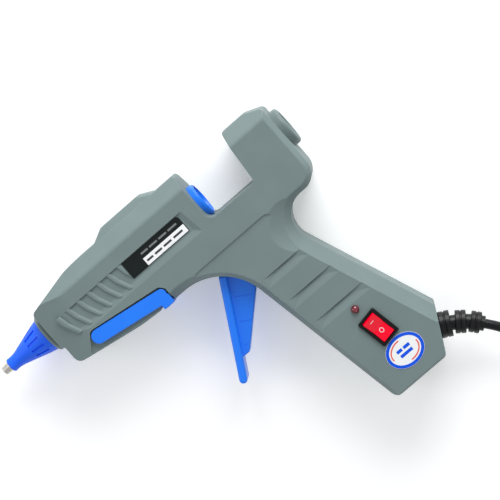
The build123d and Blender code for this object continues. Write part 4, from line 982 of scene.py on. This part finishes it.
class GLUEGUN_OT_relief(bpy.types.Operator):
    """Make the moulded relief of the cord: discs in pairs on a bending core"""

    bl_idname = "glue_gun.relief"
    bl_label = "Strain relief"

    def execute(self, context):
        black = settings().plastic.black
        rubber = moulded("relief_black", black, 0.34, wear_and_highlight=0.15, grain=0.6, specular_ior_level=0.35)
        rim = [(0, 0), (0, 0.94), (0.07, 0.985), (0.16, 1.0)]
        profile = rim + [(1 - x, r) for x, r in reversed(rim)]
        disc = mesh_from("disc", *lathe(profile, 40), smooth=False)
        start, places, spine = Vector(RELIEF_START), [], []
        for step, angle, radius in RELIEF_BLOCKS:
            along = Vector((cos(radians(angle)), sin(radians(angle)), 0.0))
            if not spine:
                spine = [start - along * 5.9, start - along * 3.0]
                places += [(start - along * 6.0, angle, 2.4, 5.8), (start - along * 3.8, angle, 4.0, 4.2)]
            half = (step - RELIEF_GAP - RELIEF_SLOT) / 2
            second = start + along * (half + RELIEF_SLOT)
            places += [(start, angle, half, radius), (second, angle, half, radius)]
            places.append((start + along * (half - 0.2), angle, RELIEF_SLOT + 0.4, radius - 0.45))
            spine += [start + along * step * 0.25, start + along * step * 0.7]
            start = start + along * step
        spine.append(start)
        spots = [
            (tuple(p * MM), (0, 0, radians(angle)), (w * MM, r * MM, r * MM)) for p, angle, w, r in places
        ]
        relief = scattered("moulded_relief", disc, rubber, spots)

        curve = bpy.data.curves.new("core_line", "CURVE")
        curve.dimensions = "3D"
        spline = curve.splines.new("NURBS")
        spline.points.add(len(spine) - 1)
        for point, place in zip(spline.points, spine):
            point.co = (*(place * MM), 1.0)
        spline.order_u = 3
        spline.use_endpoint_u = True
        curve.bevel_depth, curve.bevel_resolution, curve.use_fill_caps = RELIEF_CORE * MM, 6, True
        line = link("core", curve)
        context.view_layer.update()
        core = bpy.data.meshes.new_from_object(line.evaluated_get(context.evaluated_depsgraph_get()))
        made = bmesh.new()
        made.from_mesh(relief.data)
        made.from_mesh(core)
        bmesh.ops.recalc_face_normals(made, faces=made.faces)
        made.to_mesh(relief.data)
        made.free()
        bpy.data.objects.remove(line)
        own(relief, rubber, stands_for=("strain_relief",))
        return {"FINISHED"}


class GLUEGUN_OT_plug(bpy.types.Operator):
    """Finish the mains plug and its blades"""

    bl_idname = "glue_gun.plug"
    bl_label = "Plug"

    def execute(self, context):
        black = settings().plastic.black
        black = moulded("plug_black", black, 0.38, wear_and_highlight=0.2, grain=0.7, specular_ior_level=0.35)
        finish_node("plug_body", black)
        brass = metal("blade_brass", (0.83, 0.66, 0.38), 0.22, (0.05, 1.0, 1.0), 4200.0)
        finish_node("plug_blades", brass)
        return {"FINISHED"}


class GLUEGUN_OT_insides(bpy.types.Operator):
    """Finish the melting chamber, the heater, the pins and the wiring inside"""

    bl_idname = "glue_gun.insides"
    bl_label = "Insides"

    def execute(self, context):
        cast = metal("cast_aluminium", (0.6, 0.6, 0.58), 0.42, line=700.0, depth=0.00004)
        finish_node("melt_chamber", cast)
        film, tree, shader = new_material("amber_film", coat_weight=0.6)
        streaks = noise(tree, object_place(tree, (0.3, 1.0, 1.0)), 600.0, 3.0)
        amber = blend_colours(tree, streaks, (0.5, 0.2, 0.03, 1.0), (0.75, 0.38, 0.08, 1.0))
        drive(tree, shader, "Base Color", amber)
        drive(tree, shader, "Roughness", spread(tree, streaks, 0.0, 1.0, 0.2, 0.35))
        bump(tree, shader, streaks, 0.00001)
        finish_node("heater_insulation", film)
        finish_node("heater_element", moulded("heater_ceramic", (0.06, 0.055, 0.05), 0.7, grain=1.4))
        brass = metal("sheet_brass", (0.78, 0.55, 0.25), 0.34, (0.1, 1.0, 1.0), 2600.0)
        finish_node("heater_electrodes", brass)
        clear = (0.55, 0.52, 0.48)
        clear = moulded("clear_silicone", clear, 0.42, wear_and_highlight=0.1, grain=0.4, transmission_weight=0.3)
        finish_node("inlet_sleeve", clear)
        steel = metal("bright_steel", (0.62, 0.62, 0.62), 0.26, (1.0, 1.0, 0.08), 3000.0)
        for name in ("sleeve_clamp", "trigger_pin", "carriage_pin", "jaw_pin", "clamp_screws"):
            finish_node(name, steel)
        board = moulded("fibre_board", (0.09, 0.045, 0.02), 0.6, grain=1.6)
        finish_node("chamber_supports", board)
        finish_node("cord_clamp", moulded("clamp_black", settings().plastic.black, 0.4, grain=0.6))
        finish_node("cord_tail", bpy.data.materials["cord_sheath"])
        for name, shade in (
            ("neutral_wire", (0.01, 0.05, 0.4)),
            ("live_wire", (0.12, 0.04, 0.015)),
            ("heater_wire", (0.5, 0.48, 0.42)),
        ):
            finish_node(name, moulded(name + "_skin", shade, 0.36, wear_and_highlight=0.0, grain=0.3))
        return {"FINISHED"}


MAKERS = (
    GLUEGUN_OT_stage, GLUEGUN_OT_cord, GLUEGUN_OT_housing, GLUEGUN_OT_blue_parts, GLUEGUN_OT_nozzle,
    GLUEGUN_OT_screws, GLUEGUN_OT_spring, GLUEGUN_OT_switch, GLUEGUN_OT_labels, GLUEGUN_OT_relief,
    GLUEGUN_OT_plug, GLUEGUN_OT_insides,
)


class GLUEGUN_PT_panel(bpy.types.Panel):
    """Settings and makers of the glue gun"""

    bl_idname = "GLUEGUN_PT_panel"
    bl_label = "Glue Gun"
    bl_space_type = "VIEW_3D"
    bl_region_type = "UI"
    bl_category = "Glue Gun"

    def draw(self, context):
        values = context.scene.glue_gun
        for name in ("plastic", "switch", "label", "cord", "spring", "screws", "stage"):
            box = self.layout.box()
            box.label(text=name.title())
            part = getattr(values, name)
            for key in part.bl_rna.properties.keys():
                if key not in ("rna_type", "name"):
                    box.prop(part, key)
        for maker in MAKERS:
            self.layout.operator(maker.bl_idname)


CLASSES = (
    PlasticSettings, SwitchSettings, LabelSettings, CordSettings, SpringSettings, ScrewSettings, StageSettings,
    GlueGunSettings, *MAKERS, GLUEGUN_PT_panel,
)


def register():
    for kind in CLASSES:
        bpy.utils.register_class(kind)
    bpy.types.Scene.glue_gun = PointerProperty(type=GlueGunSettings)


def unregister():
    del bpy.types.Scene.glue_gun
    for kind in reversed(CLASSES):
        bpy.utils.unregister_class(kind)


def main():
    register()
    make_groups()
    for maker in MAKERS:
        group, name = maker.bl_idname.split(".")
        getattr(getattr(bpy.ops, group), name)()


if __name__ == "__main__":
    main()
